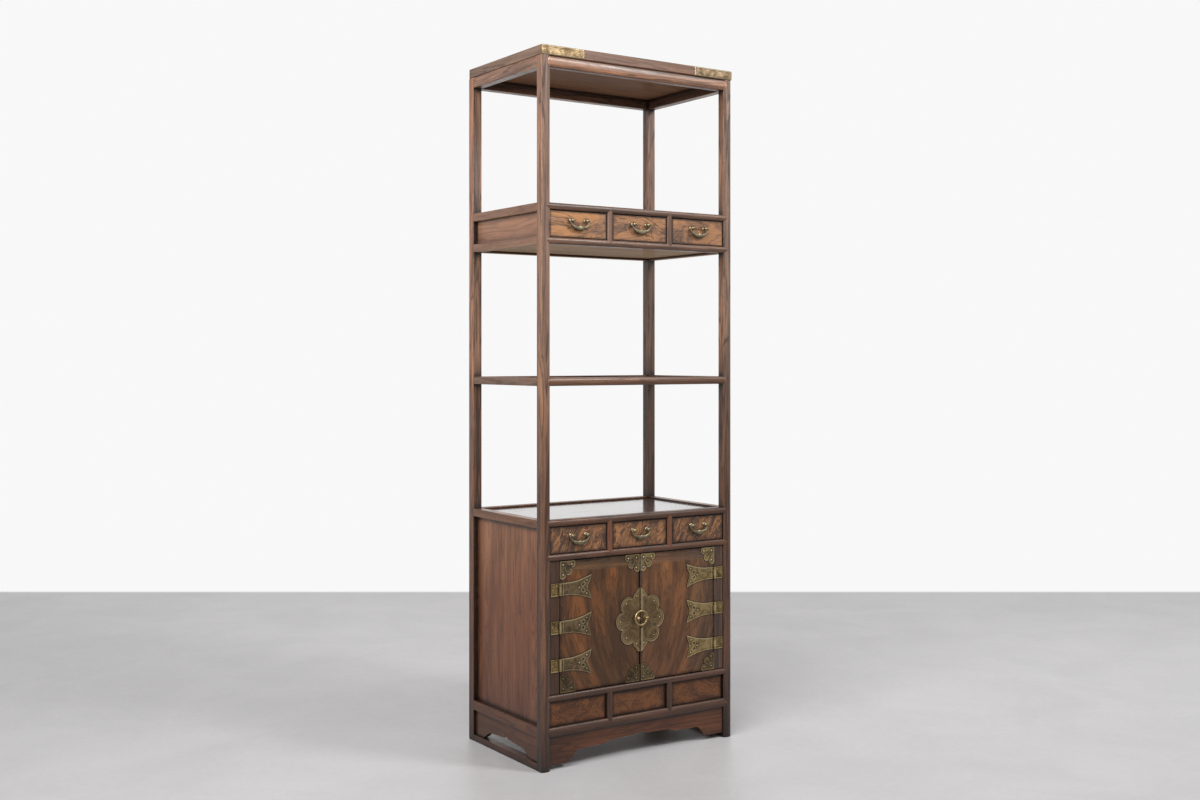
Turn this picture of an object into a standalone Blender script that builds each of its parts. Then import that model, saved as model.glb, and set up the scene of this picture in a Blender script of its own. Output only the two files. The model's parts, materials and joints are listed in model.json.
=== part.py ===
"""Open display stand with two drawer tiers and a two-door cupboard, as separate pieces.

Metres, +Z up. The front faces -Y, the width runs along X and the floor is at Z = 0.
"""

import math

import bmesh
import bpy
from mathutils import Matrix, Vector

MM = 0.001

# Size of the carcass and its posts
WIDTH = 540 * MM
DEPTH = 338 * MM
HEIGHT = 1620 * MM
POST = 22 * MM
POST_CROWN = 3 * MM

# Heights, from the floor up; the upper bay takes what is left under the top
LEG = 73.5 * MM
RAIL = 15 * MM
RAIL_CROWN = 5 * MM
BASE_FOOT = 22 * MM
BASE_PANEL = 57.5 * MM
CUPBOARD = 299 * MM
LOWER_DRAWER = 62 * MM
LOWER_BAY = 300 * MM
SHELF = 18 * MM
MIDDLE_BAY = 300 * MM
UPPER_DRAWER = 62 * MM
TOP_RAIL = 25 * MM
TOP_RAIL_CROWN = 4 * MM
TOP_BOARD = 23 * MM

# Frame members and panels
DIVIDER = 15 * MM
SIDE_RAIL = 18 * MM
FOOT_RAIL = 22 * MM
FOOT_RAIL_LIFT = 1.5 * MM
PANEL_RECESS = 11 * MM
BACK_PANEL = 8 * MM
BOARD = 10 * MM
BOARD_RECESS = 4 * MM
GUIDE = 20 * MM
STILE = 27 * MM
STRETCHER = 15 * MM
DOOR_STOP = 3 * MM
BASE_RECESS = 9 * MM
BASE_BOARD = 8 * MM

# Aprons
APRON = 12 * MM
APRON_RECESS = 6 * MM
FRONT_FOOT = 48 * MM
FRONT_CURVE = 31 * MM
FRONT_FOOT_LIFT = 12 * MM
FRONT_ARCH = 36.5 * MM
FRONT_ARCH_RISE = 2.3 * MM
SIDE_FOOT = 34 * MM
SIDE_CURVE = 40 * MM
SIDE_ARCH = 33.5 * MM
SIDE_ARCH_RISE = 3.5 * MM
APRON_STEP = 7.5 * MM
APRON_CUSP = 4 * MM

# Doors and drawers
FACE_RECESS = 5 * MM
DOOR = 16 * MM
DRAWER_FRONT = 16 * MM
DRAWER_WALL = 8 * MM
DRAWER_BASE = 6 * MM
DRAWER_TRAY = 46 * MM

# Hinges
HINGE_STEP = 85 * MM
HINGE = 28 * MM
PLATE = 1.2 * MM
KNUCKLE_WALL = 1.4 * MM
PIN = 1.4 * MM
STRAP = 84 * MM
STRAP_TAIL = 55 * MM
STRAP_NOTCH = 12 * MM
STRAP_STRAIGHT = 22 * MM
LEAF = 24 * MM

# Lock plate, knob and latch ring
FLOWER_NOTCH = 53 * MM
FLOWER_LOBE = 15 * MM
FLOWER_POINT = 6 * MM
FLOWER_DROP = 5 * MM
RING = 16.3 * MM
RING_WIRE = 2.3 * MM
RING_REACH = 8 * MM
EYE_OFFSET = 13.5 * MM
EYE_WALL = 2.4 * MM
EYE_HEIGHT = 4 * MM
KNOB_OFFSET = 11 * MM
KNOB = 4.2 * MM
STEM = 2.8 * MM

# Drawer handles
HANDLE_SPACING = 39 * MM
HANDLE_LIFT = 9 * MM
HANDLE_REACH = 7.5 * MM
HANDLE_POST = 3.6 * MM
BAIL_WIRE = 1.6 * MM
BAIL_DROP = 18 * MM
BAIL_BELLY = 2.6 * MM
BAIL_TIP = 7 * MM
BAIL_BEND = 2.2 * MM

# Clearances
GAP = 0.3 * MM
DRAWER_GAP = 0.8 * MM
DOOR_GAP = 1.5 * MM
PIN_PLAY = 0.4 * MM
TENON = 6 * MM
TENON_SHOULDER = 3 * MM
TENON_WALL = 1.5 * MM
LAP = 2 * MM
EDGE = 0.8 * MM

# Positions that follow from the sizes above
FRONT = -DEPTH / 2
BACK = DEPTH / 2
SIDE = WIDTH / 2
INNER = SIDE - POST
POST_CENTRE = SIDE - POST / 2
POST_MIDDLE = DEPTH / 2 - POST / 2
FACE = FRONT + FACE_RECESS
BEHIND = FRONT + POST + GAP
BEFORE_BACK = BACK - POST - GAP
BASE_TOP = LEG + BASE_FOOT
BASE_RAIL = BASE_TOP + BASE_PANEL
DOOR_BOTTOM = BASE_RAIL + RAIL
DOOR_TOP = DOOR_BOTTOM + CUPBOARD
LOWER_DRAWER_BOTTOM = DOOR_TOP + RAIL
LOWER_DRAWER_TOP = LOWER_DRAWER_BOTTOM + LOWER_DRAWER
LOWER_TOP = LOWER_DRAWER_TOP + RAIL
SHELF_BOTTOM = LOWER_TOP + LOWER_BAY
SHELF_TOP = SHELF_BOTTOM + SHELF
UPPER_BOTTOM = SHELF_TOP + MIDDLE_BAY
UPPER_DRAWER_BOTTOM = UPPER_BOTTOM + RAIL
UPPER_DRAWER_TOP = UPPER_DRAWER_BOTTOM + UPPER_DRAWER
UPPER_TOP = UPPER_DRAWER_TOP + RAIL
TOP_LEVEL = HEIGHT - TOP_BOARD
TOP_RAIL_BOTTOM = TOP_LEVEL - TOP_RAIL
DRAWER_WIDTH = (2 * INNER - 2 * DIVIDER) / 3
DRAWER_STEP = DRAWER_WIDTH + DIVIDER
DIVIDER_STEP = DRAWER_STEP / 2
TENON_LENGTH = (POST - TENON) / 2 - TENON_WALL
DOOR_EDGE = INNER - STILE
DOOR_MIDDLE = (DOOR_BOTTOM + DOOR_TOP) / 2
PIN_BORE = PIN + PIN_PLAY
KNUCKLE = PIN_BORE + KNUCKLE_WALL
EYE_BORE = RING_WIRE + PIN_PLAY
EYE = EYE_BORE + EYE_WALL
HANDLE_BORE = BAIL_WIRE + PIN_PLAY
BAIL_REACH = HANDLE_SPACING / 2 + HANDLE_POST + GAP + BAIL_BEND
HINGE_PIN = DOOR_EDGE - GAP
HINGE_Y = FACE - GAP - KNUCKLE
PLATE_Y = FACE - GAP - PLATE
KNUCKLE_CLEAR = KNUCKLE + 2 * GAP
RING_Y = PLATE_Y - RING_REACH
HANDLE_Y = FACE - HANDLE_REACH
KNOB_REACH = RING_REACH + 1.2 * KNOB
PROUD = KNOB_REACH + PLATE + GAP - FACE_RECESS
CENTRING = Vector((0, PROUD / 2, 0))
LEFT, RIGHT = -1, 1
NEAR, FAR = -1, 1

mortises = {(side, end): [] for side in (LEFT, RIGHT) for end in (NEAR, FAR)}


def clear_scene():
    """Remove everything that the scene starts with."""
    for item in list(bpy.data.objects):
        bpy.data.objects.remove(item)


def finish(name, colour, roughness, metallic=0.0):
    """Plain material with a colour, a roughness and a metallic value."""
    material = bpy.data.materials.new(name)
    material.use_nodes = True
    shader = material.node_tree.nodes["Principled BSDF"]
    shader.inputs["Base Color"].default_value = (*colour, 1.0)
    shader.inputs["Roughness"].default_value = roughness
    shader.inputs["Metallic"].default_value = metallic
    return material


def closed_mesh(shape):
    """Mesh of a closed bmesh with its faces turned out."""
    bmesh.ops.recalc_face_normals(shape, faces=shape.faces)
    mesh = bpy.data.meshes.new("shape")
    shape.to_mesh(mesh)
    shape.free()
    return mesh


def placed(axis, across, up, along):
    """Point of a section that runs along one axis."""
    if axis == "X":
        return (along, across, up)
    if axis == "Y":
        return (across, along, up)
    return (across, up, along)


def lofted(rings):
    """Closed mesh over a row of rings with equal numbers of points."""
    shape = bmesh.new()
    rows = [[shape.verts.new(point) for point in ring] for ring in rings]
    shape.faces.new(rows[0])
    shape.faces.new(rows[-1])
    for low, high in zip(rows, rows[1:]):
        for here in range(len(low)):
            after = (here + 1) % len(low)
            shape.faces.new((low[here], low[after], high[after], high[here]))
    return closed_mesh(shape)


def prism(outline, axis, start, end):
    """Mesh of a flat outline drawn out along an axis."""
    return lofted([[placed(axis, *point, level) for point in outline] for level in (start, end)])


def block(x, y, z, edge=0.0):
    """Box between pairs of limits, with its edges eased."""
    shape = bmesh.new()
    bmesh.ops.create_cube(shape, size=1)
    for vert in shape.verts:
        for part, (low, high) in enumerate((x, y, z)):
            vert.co[part] = high if vert.co[part] > 0 else low
    if edge:
        bmesh.ops.bevel(shape, geom=shape.edges[:], offset=edge, segments=1, affect="EDGES", profile=0.5)
    return closed_mesh(shape)


def turned(profile, centre, axis, sides):
    """Mesh of (radius, height) pairs turned about an axis through the centre."""
    rings = []
    for radius, height in profile:
        ring = []
        for step in range(sides):
            angle = 2 * math.pi * (step + 0.5) / sides
            offset = placed(axis, radius * math.cos(angle), radius * math.sin(angle), height)
            ring.append(Vector(centre) + Vector(offset))
        rings.append(ring)
    return lofted(rings)


def combined(mesh, operation, others):
    """The mesh joined to, or cut by, each of the other meshes."""
    work = bpy.data.objects.new("work", mesh)
    bpy.context.collection.objects.link(work)
    tools = []
    for other in others:
        tool = bpy.data.objects.new("tool", other)
        bpy.context.collection.objects.link(tool)
        step = work.modifiers.new("step", "BOOLEAN")
        step.operation = operation
        step.solver = "EXACT"
        step.object = tool
        tools.append(tool)
    bpy.context.view_layer.update()
    graph = bpy.context.evaluated_depsgraph_get()
    result = bpy.data.meshes.new_from_object(work.evaluated_get(graph))
    for item in [work, *tools]:
        bpy.data.objects.remove(item)
    return result


def piece(name, mesh, material, pivot=(0, 0, 0), parent=None):
    """Named object with its origin on the pivot, moved so that carcass and hardware are centred."""
    mesh.transform(Matrix.Translation(-Vector(pivot)))
    mesh.materials.clear()
    mesh.materials.append(material)
    body = bpy.data.objects.new(name, mesh)
    bpy.context.collection.objects.link(body)
    body.location = Vector(pivot) + CENTRING
    if parent:
        body.parent = parent
        body.location -= parent.location
    return body


def grown(limits, by):
    """Pairs of limits moved apart by a clearance."""
    return [(low - by, high + by) for low, high in limits]


def tenon(side, end, axis, low, high):
    """Tongue of a rail that enters a post. Its mortise is kept for that post."""
    height = (low + TENON_SHOULDER, high - TENON_SHOULDER)
    if axis == "X":
        x = sorted((side * (INNER - LAP), side * (INNER + TENON_LENGTH)))
        y = (end * POST_MIDDLE - TENON / 2, end * POST_MIDDLE + TENON / 2)
    else:
        shoulder = BACK - POST
        x = (side * POST_CENTRE - TENON / 2, side * POST_CENTRE + TENON / 2)
        y = sorted((end * (shoulder - LAP), end * (shoulder + TENON_LENGTH)))
    mortises[side, end].append(block(*grown((x, y, height), GAP)))
    return block(x, y, height)


def cross_tenons(end, low, high):
    """Both tongues of a rail along the width."""
    return [tenon(side, end, "X", low, high) for side in (LEFT, RIGHT)]


def side_tenons(side, low, high):
    """Both tongues of a rail along the depth."""
    return [tenon(side, end, "Y", low, high) for end in (NEAR, FAR)]


def post_outline(side, end, spread):
    """Section of a post, with a rounded face on the front pair."""
    half = POST / 2 + spread
    inside = end * (POST_MIDDLE - half)
    outline = [(side * POST_CENTRE - half, inside), (side * POST_CENTRE + half, inside)]
    crown = POST_CROWN if end == NEAR else 0
    steps = 8 if end == NEAR else 1
    for step in range(steps + 1):
        across = 1 - 2 * step / steps
        outline.append((side * POST_CENTRE + half * across, end * (BACK + spread - crown * across**2)))
    return outline


def post(side, end):
    """Corner post with a mortise for each rail that meets it."""
    solid = prism(post_outline(side, end, 0), "Z", 0, TOP_LEVEL)
    return combined(solid, "DIFFERENCE", mortises[side, end])


def nosed(low, high, crown, back):
    """Section of a front rail or divider, (depth, across), with a rounded nose."""
    outline = [(back, high), (back, low)]
    middle = (low + high) / 2
    for step in range(9):
        angle = math.pi * (step / 8 - 0.5)
        outline.append((FRONT + crown * (1 - math.cos(angle)), middle + (high - low) / 2 * math.sin(angle)))
    return outline


def front_rail(low, high, crown):
    """Rounded rail between the middles of the front posts."""
    return prism(nosed(low, high, crown, FRONT + POST), "X", -POST_CENTRE, POST_CENTRE)


def upright(middle, low, high, back):
    """Rounded divider between the middles of two rails."""
    section = nosed(middle - DIVIDER / 2, middle + DIVIDER / 2, RAIL_CROWN, back)
    return prism([(across, depth) for depth, across in section], "Z", low - RAIL / 2, high + RAIL / 2)


def coped(members, low, high):
    """Members joined into one frame that laps onto the round of the front posts."""
    frame = combined(members[0], "UNION", members[1:])
    posts = [prism(post_outline(side, NEAR, GAP), "Z", low - RAIL, high + RAIL) for side in (LEFT, RIGHT)]
    return combined(frame, "DIFFERENCE", posts)


def face_frame(low, high, uprights_back, foot=RAIL):
    """Two front rails around an opening, with two uprights between them."""
    rails = [front_rail(low - foot, low, RAIL_CROWN), front_rail(high, high + RAIL, RAIL_CROWN)]
    bars = [upright(side * DIVIDER_STEP, low, high, uprights_back) for side in (LEFT, RIGHT)]
    tongues = cross_tenons(NEAR, low - foot, low) + cross_tenons(NEAR, high, high + RAIL)
    return combined(coped(rails + bars, low - foot, high + RAIL), "UNION", tongues)


def single_front_rail(low, high, crown):
    """One front rail with its tongues."""
    return combined(coped([front_rail(low, high, crown)], low, high), "UNION", cross_tenons(NEAR, low, high))


def side_span():
    """Reach of a side piece between its posts."""
    return (BEHIND, BEFORE_BACK)


def cross_span():
    """Reach of a piece between the left and right posts."""
    return (-INNER + GAP, INNER - GAP)


def side_rail(side, low, high):
    """Plain rail between a front and a back post."""
    x = sorted((side * INNER, side * SIDE))
    return combined(block(x, side_span(), (low, high), EDGE), "UNION", side_tenons(side, low, high))


def back_rail(low, high):
    """Plain rail between the back posts."""
    body = block(cross_span(), (BACK - POST, BACK), (low, high), EDGE)
    return combined(body, "UNION", cross_tenons(FAR, low, high))


def panel_section(low, foot, head, high, outside, recess, inside):
    """Section of a panel with a thicker rail along each long edge, (across, up)."""
    return [
        (inside, low),
        (inside, high),
        (outside, high),
        (outside, head),
        (recess, head),
        (recess, foot),
        (outside, foot),
        (outside, low),
    ]


def side_frame(side, low, foot, head, high):
    """Side of a case: two rails and the panel between them, with tongues."""
    recess = side * (SIDE - PANEL_RECESS)
    section = panel_section(low, foot, head, high, side * SIDE, recess, side * INNER)
    body = prism(section, "Y", *side_span())
    return combined(body, "UNION", side_tenons(side, low, foot) + side_tenons(side, head, high))


def back_frame(low, high):
    """Back of a case: two rails and the panel between them, with tongues."""
    inside = BACK - POST
    section = panel_section(low, low + SIDE_RAIL, high - SIDE_RAIL, high, BACK, inside + BACK_PANEL, inside)
    body = prism(section, "X", *cross_span())
    tongues = cross_tenons(FAR, low, low + SIDE_RAIL) + cross_tenons(FAR, high - SIDE_RAIL, high)
    return combined(body, "UNION", tongues)


def guided_board(bottom, top):
    """Board under a row of drawers, with a guide rib behind each divider."""
    low, high = cross_span()
    rib = DIVIDER / 2 - GAP
    outline = [(low, bottom), (high, bottom), (high, top)]
    for side in (RIGHT, LEFT):
        centre = side * DIVIDER_STEP
        outline += [(centre + rib, top), (centre + rib, top + GUIDE)]
        outline += [(centre - rib, top + GUIDE), (centre - rib, top)]
    outline.append((low, top))
    return prism(outline, "Y", *side_span())


def arch_half(reach, foot, curve, lift, crown, rise, lobes):
    """Lower edge of half an apron, from its outer end to its middle, (out, up).

    A foot and an ogee lead to the lobes, each a step above the last and ended by a cusp.
    """
    edge = [(reach, lift), (reach - foot, lift)]
    for step in range(1, 7):
        share = step / 6
        climb = (1 - math.cos(math.pi * share)) / 2
        edge.append((reach - foot - curve * share, lift + (crown - lift) * climb))
    length = (reach - foot - curve) / lobes
    for number in range(lobes):
        end = length * (lobes - 1 - number)
        low = crown + number * APRON_STEP
        if number > 0:
            edge.append((end + length - APRON_CUSP, low))
        edge.append((end + 4 * APRON_CUSP, low + rise))
        edge.append((end + 2 * APRON_CUSP, low + rise + APRON_CUSP / 3))
        edge.append((end, low + rise + 1.5 * APRON_CUSP))
    return edge


def apron_outline(reach, top, half):
    """Whole apron outline from one half of its lower edge."""
    mirrored = [(-out, up) for out, up in reversed(half[:-1])]
    return [(-reach, top), (reach, top), *half, *mirrored]


def front_apron():
    """Shaped board between the front posts, under the lowest rail."""
    reach = INNER - GAP
    half = arch_half(reach, FRONT_FOOT, FRONT_CURVE, FRONT_FOOT_LIFT, FRONT_ARCH, FRONT_ARCH_RISE, 2)
    start = FRONT + APRON_RECESS
    return prism(apron_outline(reach, LEG - GAP, half), "Y", start, start + APRON)


def lower_side(side):
    """Side of the cupboard, with its shaped apron under the foot rail."""
    low = LEG + FOOT_RAIL_LIFT
    body = side_frame(side, low, low + FOOT_RAIL, LOWER_TOP - SIDE_RAIL, LOWER_TOP)
    reach = BACK - POST - GAP
    half = arch_half(reach, SIDE_FOOT, SIDE_CURVE, STRETCHER + GAP, SIDE_ARCH, SIDE_ARCH_RISE, 1)
    outside = side * (SIDE - APRON_RECESS)
    apron = prism(apron_outline(reach, low + LAP, half), "X", outside - side * APRON, outside)
    return combined(body, "UNION", [apron])


def stretcher(side):
    """Floor bar between a front and a back post."""
    return side_rail(side, 0, STRETCHER)


def shelf_board():
    """Middle shelf with its side and back rails."""
    low, high = SHELF_BOTTOM + BOARD_RECESS, SHELF_TOP - BOARD_RECESS
    panel = block((-INNER - LAP, INNER + LAP), side_span(), (low, high))
    tongue = block(cross_span(), (BEFORE_BACK - LAP, BACK - POST + LAP), (low + EDGE, high - EDGE))
    rails = [side_rail(side, SHELF_BOTTOM, SHELF_TOP) for side in (LEFT, RIGHT)]
    rails.append(back_rail(SHELF_BOTTOM, SHELF_TOP))
    return combined(panel, "UNION", [tongue, *rails])


def inner_board(bottom, top):
    """Plain board inside a case, between its frames."""
    return block(cross_span(), side_span(), (bottom, top))


def base_board():
    """Board behind the base uprights."""
    start = FRONT + BASE_RECESS
    return block(cross_span(), (start, start + BASE_BOARD), (BASE_TOP + GAP, BASE_RAIL - GAP))


def stile(side):
    """Fixed upright between a post and a door."""
    x = sorted((side * (DOOR_EDGE + GAP), side * (INNER - GAP)))
    return block(x, (FACE, FRONT + POST), (DOOR_BOTTOM + GAP, DOOR_TOP - GAP), EDGE)


def door(side):
    """Cupboard door, hung on its outer edge."""
    x = sorted((side * DOOR_GAP, side * (DOOR_EDGE - 2 * GAP)))
    return block(x, (FACE, FACE + DOOR), (DOOR_BOTTOM + DOOR_GAP, DOOR_TOP - DOOR_GAP), EDGE)


def drawer(middle, low, high):
    """Drawer with its front, tray and the two bored handle posts."""
    half = DRAWER_WIDTH / 2 - DRAWER_GAP
    bottom = low + GAP
    front_back = FACE + DRAWER_FRONT
    front = block((middle - half, middle + half), (FACE, front_back), (bottom, high - DRAWER_GAP), EDGE)
    tray_half = half - DRAWER_GAP - EDGE
    tray_back = BEFORE_BACK - DRAWER_WALL
    tray_top = bottom + DRAWER_TRAY
    tray = block((middle - tray_half, middle + tray_half), (front_back - LAP, tray_back), (bottom, tray_top))
    pocket_half = tray_half - DRAWER_WALL
    pocket = block(
        (middle - pocket_half, middle + pocket_half),
        (front_back, tray_back - DRAWER_WALL),
        (bottom + DRAWER_BASE, tray_top + DRAWER_WALL),
    )
    axis_z = handle_height(low, high)
    posts = []
    bores = []
    for side in (LEFT, RIGHT):
        centre = middle + side * HANDLE_SPACING / 2
        posts.append(handle_post(centre, axis_z))
        reach = HANDLE_POST + LAP
        bore = [(HANDLE_BORE, -reach), (HANDLE_BORE, reach)]
        bores.append(turned(bore, (centre, HANDLE_Y, axis_z), "X", 12))
    body = combined(front, "UNION", [tray, *posts])
    return combined(body, "DIFFERENCE", [pocket, *bores])


def handle_height(low, high):
    """Height of a handle's axis in a drawer opening."""
    return (low + high) / 2 + HANDLE_LIFT


def handle_post(centre, height):
    """Waisted post with a ball end, out of a drawer front."""
    profile = [
        (HANDLE_POST, LAP),
        (HANDLE_POST, -HANDLE_REACH / 5),
        (HANDLE_POST * 0.7, -HANDLE_REACH / 3),
        (HANDLE_POST, -HANDLE_REACH * 0.75),
        (HANDLE_POST, -HANDLE_REACH * 1.25),
        (HANDLE_POST * 0.6, -HANDLE_REACH - HANDLE_POST * 0.9),
    ]
    return turned(profile, (centre, FACE, height), "Y", 10)


def bail_path():
    """Half of a bail's line from its tip to its middle, as (across, up, belly share)."""
    path = [(HANDLE_SPACING / 2 - BAIL_TIP, 0, 0), (BAIL_REACH - BAIL_BEND, 0, 0)]
    for step in (1, 2):
        angle = math.pi / 2 * step / 3
        path.append((BAIL_REACH - BAIL_BEND * (1 - math.sin(angle)), -BAIL_BEND * (1 - math.cos(angle)), 0))
    for step in range(8):
        angle = math.pi / 2 * step / 7
        up = -BAIL_BEND - (BAIL_DROP - BAIL_BEND) * math.sin(angle)
        path.append((BAIL_REACH * math.cos(angle), up, math.sin(angle) ** 2))
    return path


def bail(middle, height):
    """Drop handle that swells towards its middle, with its ends turned in through the posts."""
    half = bail_path()
    line = [(-across, up, belly) for across, up, belly in half] + half[-2::-1]
    rings = []
    for place, (across, up, belly) in enumerate(line):
        before = line[max(place - 1, 0)]
        after = line[min(place + 1, len(line) - 1)]
        along = Vector((after[0] - before[0], 0, after[1] - before[1])).normalized()
        aside = Vector((-along.z, 0, along.x))
        ring = []
        for step in range(8):
            angle = 2 * math.pi * (step + 0.5) / 8
            wide = (BAIL_WIRE + BAIL_BELLY * belly) * math.cos(angle)
            deep = (BAIL_WIRE + BAIL_BELLY * belly / 3) * math.sin(angle)
            ring.append(Vector((middle + across, HANDLE_Y + deep, height + up)) + aside * wide)
        rings.append(ring)
    return lofted(rings)


def strap_outline():
    """Hinge strap as (out, up) pairs: tongue, straight, flare and notched tail."""
    half = HINGE / 2
    tongue = HINGE / 4
    upper = [(KNUCKLE / 3, tongue), (KNUCKLE_CLEAR, tongue), (KNUCKLE_CLEAR, half), (STRAP_STRAIGHT, half)]
    for step in range(1, 6):
        share = step / 5
        flare = half + (STRAP_TAIL / 2 - half) * share**1.8
        upper.append((STRAP_STRAIGHT + (STRAP - STRAP_STRAIGHT) * share, flare))
    for step in range(1, 6):
        share = step / 5
        upper.append((STRAP - STRAP_NOTCH * share**1.6, STRAP_TAIL / 2 * (1 - share)))
    return upper + [(out, -up) for out, up in reversed(upper[:-1])]


def leaf_outline():
    """Fixed hinge leaf as (out, up) pairs, cut back at the moving knuckle."""
    half = HINGE / 2
    inner = HINGE / 4 + GAP
    root = -KNUCKLE / 3
    upper = [(-KNUCKLE_CLEAR, inner), (root, inner), (root, half), (-LEAF, half)]
    return upper + [(out, -up) for out, up in reversed(upper)]


def hinge_plate(side, height, outline):
    """Flat hinge plate on the face of a door or stile."""
    points = [(side * (HINGE_PIN - out), height + up) for out, up in outline]
    return prism(points, "Y", PLATE_Y, FACE - GAP)


def hinge_barrel(side, height, radius, low, high, sides):
    """Length of round stock on a hinge axis."""
    return turned([(radius, low), (radius, high)], (side * HINGE_PIN, HINGE_Y, height), "Z", sides)


def hinge_strap(side, height):
    """Moving leaf with its bored knuckle."""
    knuckle = HINGE / 4
    barrel = hinge_barrel(side, height, KNUCKLE, -knuckle, knuckle, 16)
    body = combined(hinge_plate(side, height, strap_outline()), "UNION", [barrel])
    return combined(body, "DIFFERENCE", [hinge_barrel(side, height, PIN_BORE, -HINGE, HINGE, 16)])


def hinge_leaf(side, height):
    """Fixed leaf with two knuckles and the pin between them."""
    half = HINGE / 2
    inner = HINGE / 4 + GAP
    barrels = [hinge_barrel(side, height, KNUCKLE, *span, 16) for span in ((-half, -inner), (inner, half))]
    pin = hinge_barrel(side, height, PIN, -half + LAP, half - LAP, 10)
    return combined(hinge_plate(side, height, leaf_outline()), "UNION", [*barrels, pin])


def flower_half(side):
    """Half of an eight-lobed flower with a point above and below."""
    points = []
    count = 32
    shoulder = math.cos(math.pi / 16)
    for step in range(count + 1):
        angle = math.pi * (step / count - 0.5)
        point = max(0, abs(math.sin(angle)) - shoulder) / (1 - shoulder)
        radius = FLOWER_NOTCH + FLOWER_LOBE * abs(math.cos(4 * angle)) ** 0.6 + FLOWER_POINT * point
        out = max(radius * math.cos(angle), DOOR_GAP)
        points.append((side * out, lock_height() + radius * math.sin(angle)))
    return points


def lock_height():
    """Height of the lock plate's centre."""
    return DOOR_MIDDLE - FLOWER_DROP


def lock_plate_left():
    """Left half of the lock plate, with the knob."""
    plate = prism(flower_half(LEFT), "Y", PLATE_Y, FACE - GAP)
    profile = [
        (STEM, PLATE / 2),
        (STEM, -RING_REACH + KNOB / 2),
        (KNOB, -RING_REACH - KNOB * 0.2),
        (KNOB * 0.9, -RING_REACH - KNOB * 0.8),
        (KNOB * 0.4, -KNOB_REACH),
    ]
    knob = turned(profile, (-KNOB_OFFSET, PLATE_Y, DOOR_MIDDLE), "Y", 12)
    return combined(plate, "UNION", [knob])


def lock_plate_right():
    """Right half of the lock plate, with the eye that holds the ring."""
    plate = prism(flower_half(RIGHT), "Y", PLATE_Y, FACE - GAP)
    centre = (EYE_OFFSET, RING_Y, DOOR_MIDDLE)
    root = (EYE_OFFSET, PLATE_Y, DOOR_MIDDLE)
    stem = turned([(STEM, PLATE / 2), (STEM, -RING_REACH + EYE_BORE)], root, "Y", 12)
    eye = turned([(EYE, -EYE_HEIGHT / 2), (EYE, EYE_HEIGHT / 2)], centre, "Z", 16)
    body = combined(plate, "UNION", [stem, eye])
    return combined(body, "DIFFERENCE", [turned([(EYE_BORE, -EYE), (EYE_BORE, EYE)], centre, "Z", 16)])


def latch_ring():
    """Ring through the eye, lying round the knob of the other door."""
    shape = bmesh.new()
    rows = []
    for turn in range(32):
        around = 2 * math.pi * turn / 32
        row = []
        for step in range(8):
            angle = 2 * math.pi * step / 8
            radius = RING + RING_WIRE * math.cos(angle)
            x = EYE_OFFSET - RING + radius * math.cos(around)
            y = RING_Y + RING_WIRE * math.sin(angle)
            row.append(shape.verts.new((x, y, DOOR_MIDDLE + radius * math.sin(around))))
        rows.append(row)
    for turn in range(32):
        low, high = rows[turn], rows[(turn + 1) % 32]
        for here in range(8):
            after = (here + 1) % 8
            shape.faces.new((low[here], low[after], high[after], high[here]))
    return closed_mesh(shape)


def build_top(wood):
    """Top board and the four rails under it."""
    top = block((-SIDE, SIDE), (FRONT, BACK), (TOP_LEVEL + GAP, TOP_LEVEL + TOP_BOARD), 2 * EDGE)
    piece("top_board", top, wood)
    piece("top_front_rail", single_front_rail(TOP_RAIL_BOTTOM, TOP_LEVEL, TOP_RAIL_CROWN), wood)
    piece("top_back_rail", back_rail(TOP_RAIL_BOTTOM, TOP_LEVEL), wood)
    piece("top_left_rail", side_rail(LEFT, TOP_RAIL_BOTTOM, TOP_LEVEL), wood)
    piece("top_right_rail", side_rail(RIGHT, TOP_RAIL_BOTTOM, TOP_LEVEL), wood)


def build_upper_case(wood, panel):
    """Drawer tier in the upper half."""
    piece("upper_drawer_frame", face_frame(UPPER_DRAWER_BOTTOM, UPPER_DRAWER_TOP, FRONT + POST - EDGE), wood)
    for side, name in ((LEFT, "upper_left_side"), (RIGHT, "upper_right_side")):
        body = side_frame(side, UPPER_BOTTOM, UPPER_BOTTOM + SIDE_RAIL, UPPER_TOP - SIDE_RAIL, UPPER_TOP)
        piece(name, body, wood)
    piece("upper_back", back_frame(UPPER_BOTTOM, UPPER_TOP), panel)
    piece("upper_case_top", inner_board(UPPER_TOP - BOARD_RECESS - BOARD, UPPER_TOP - BOARD_RECESS), panel)
    piece("upper_case_floor", guided_board(UPPER_DRAWER_BOTTOM - BOARD, UPPER_DRAWER_BOTTOM), panel)


def build_shelf(wood):
    """Open shelf halfway up."""
    piece("shelf_front_rail", single_front_rail(SHELF_BOTTOM, SHELF_TOP, RAIL_CROWN), wood)
    piece("shelf_board", shelf_board(), wood)


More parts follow.
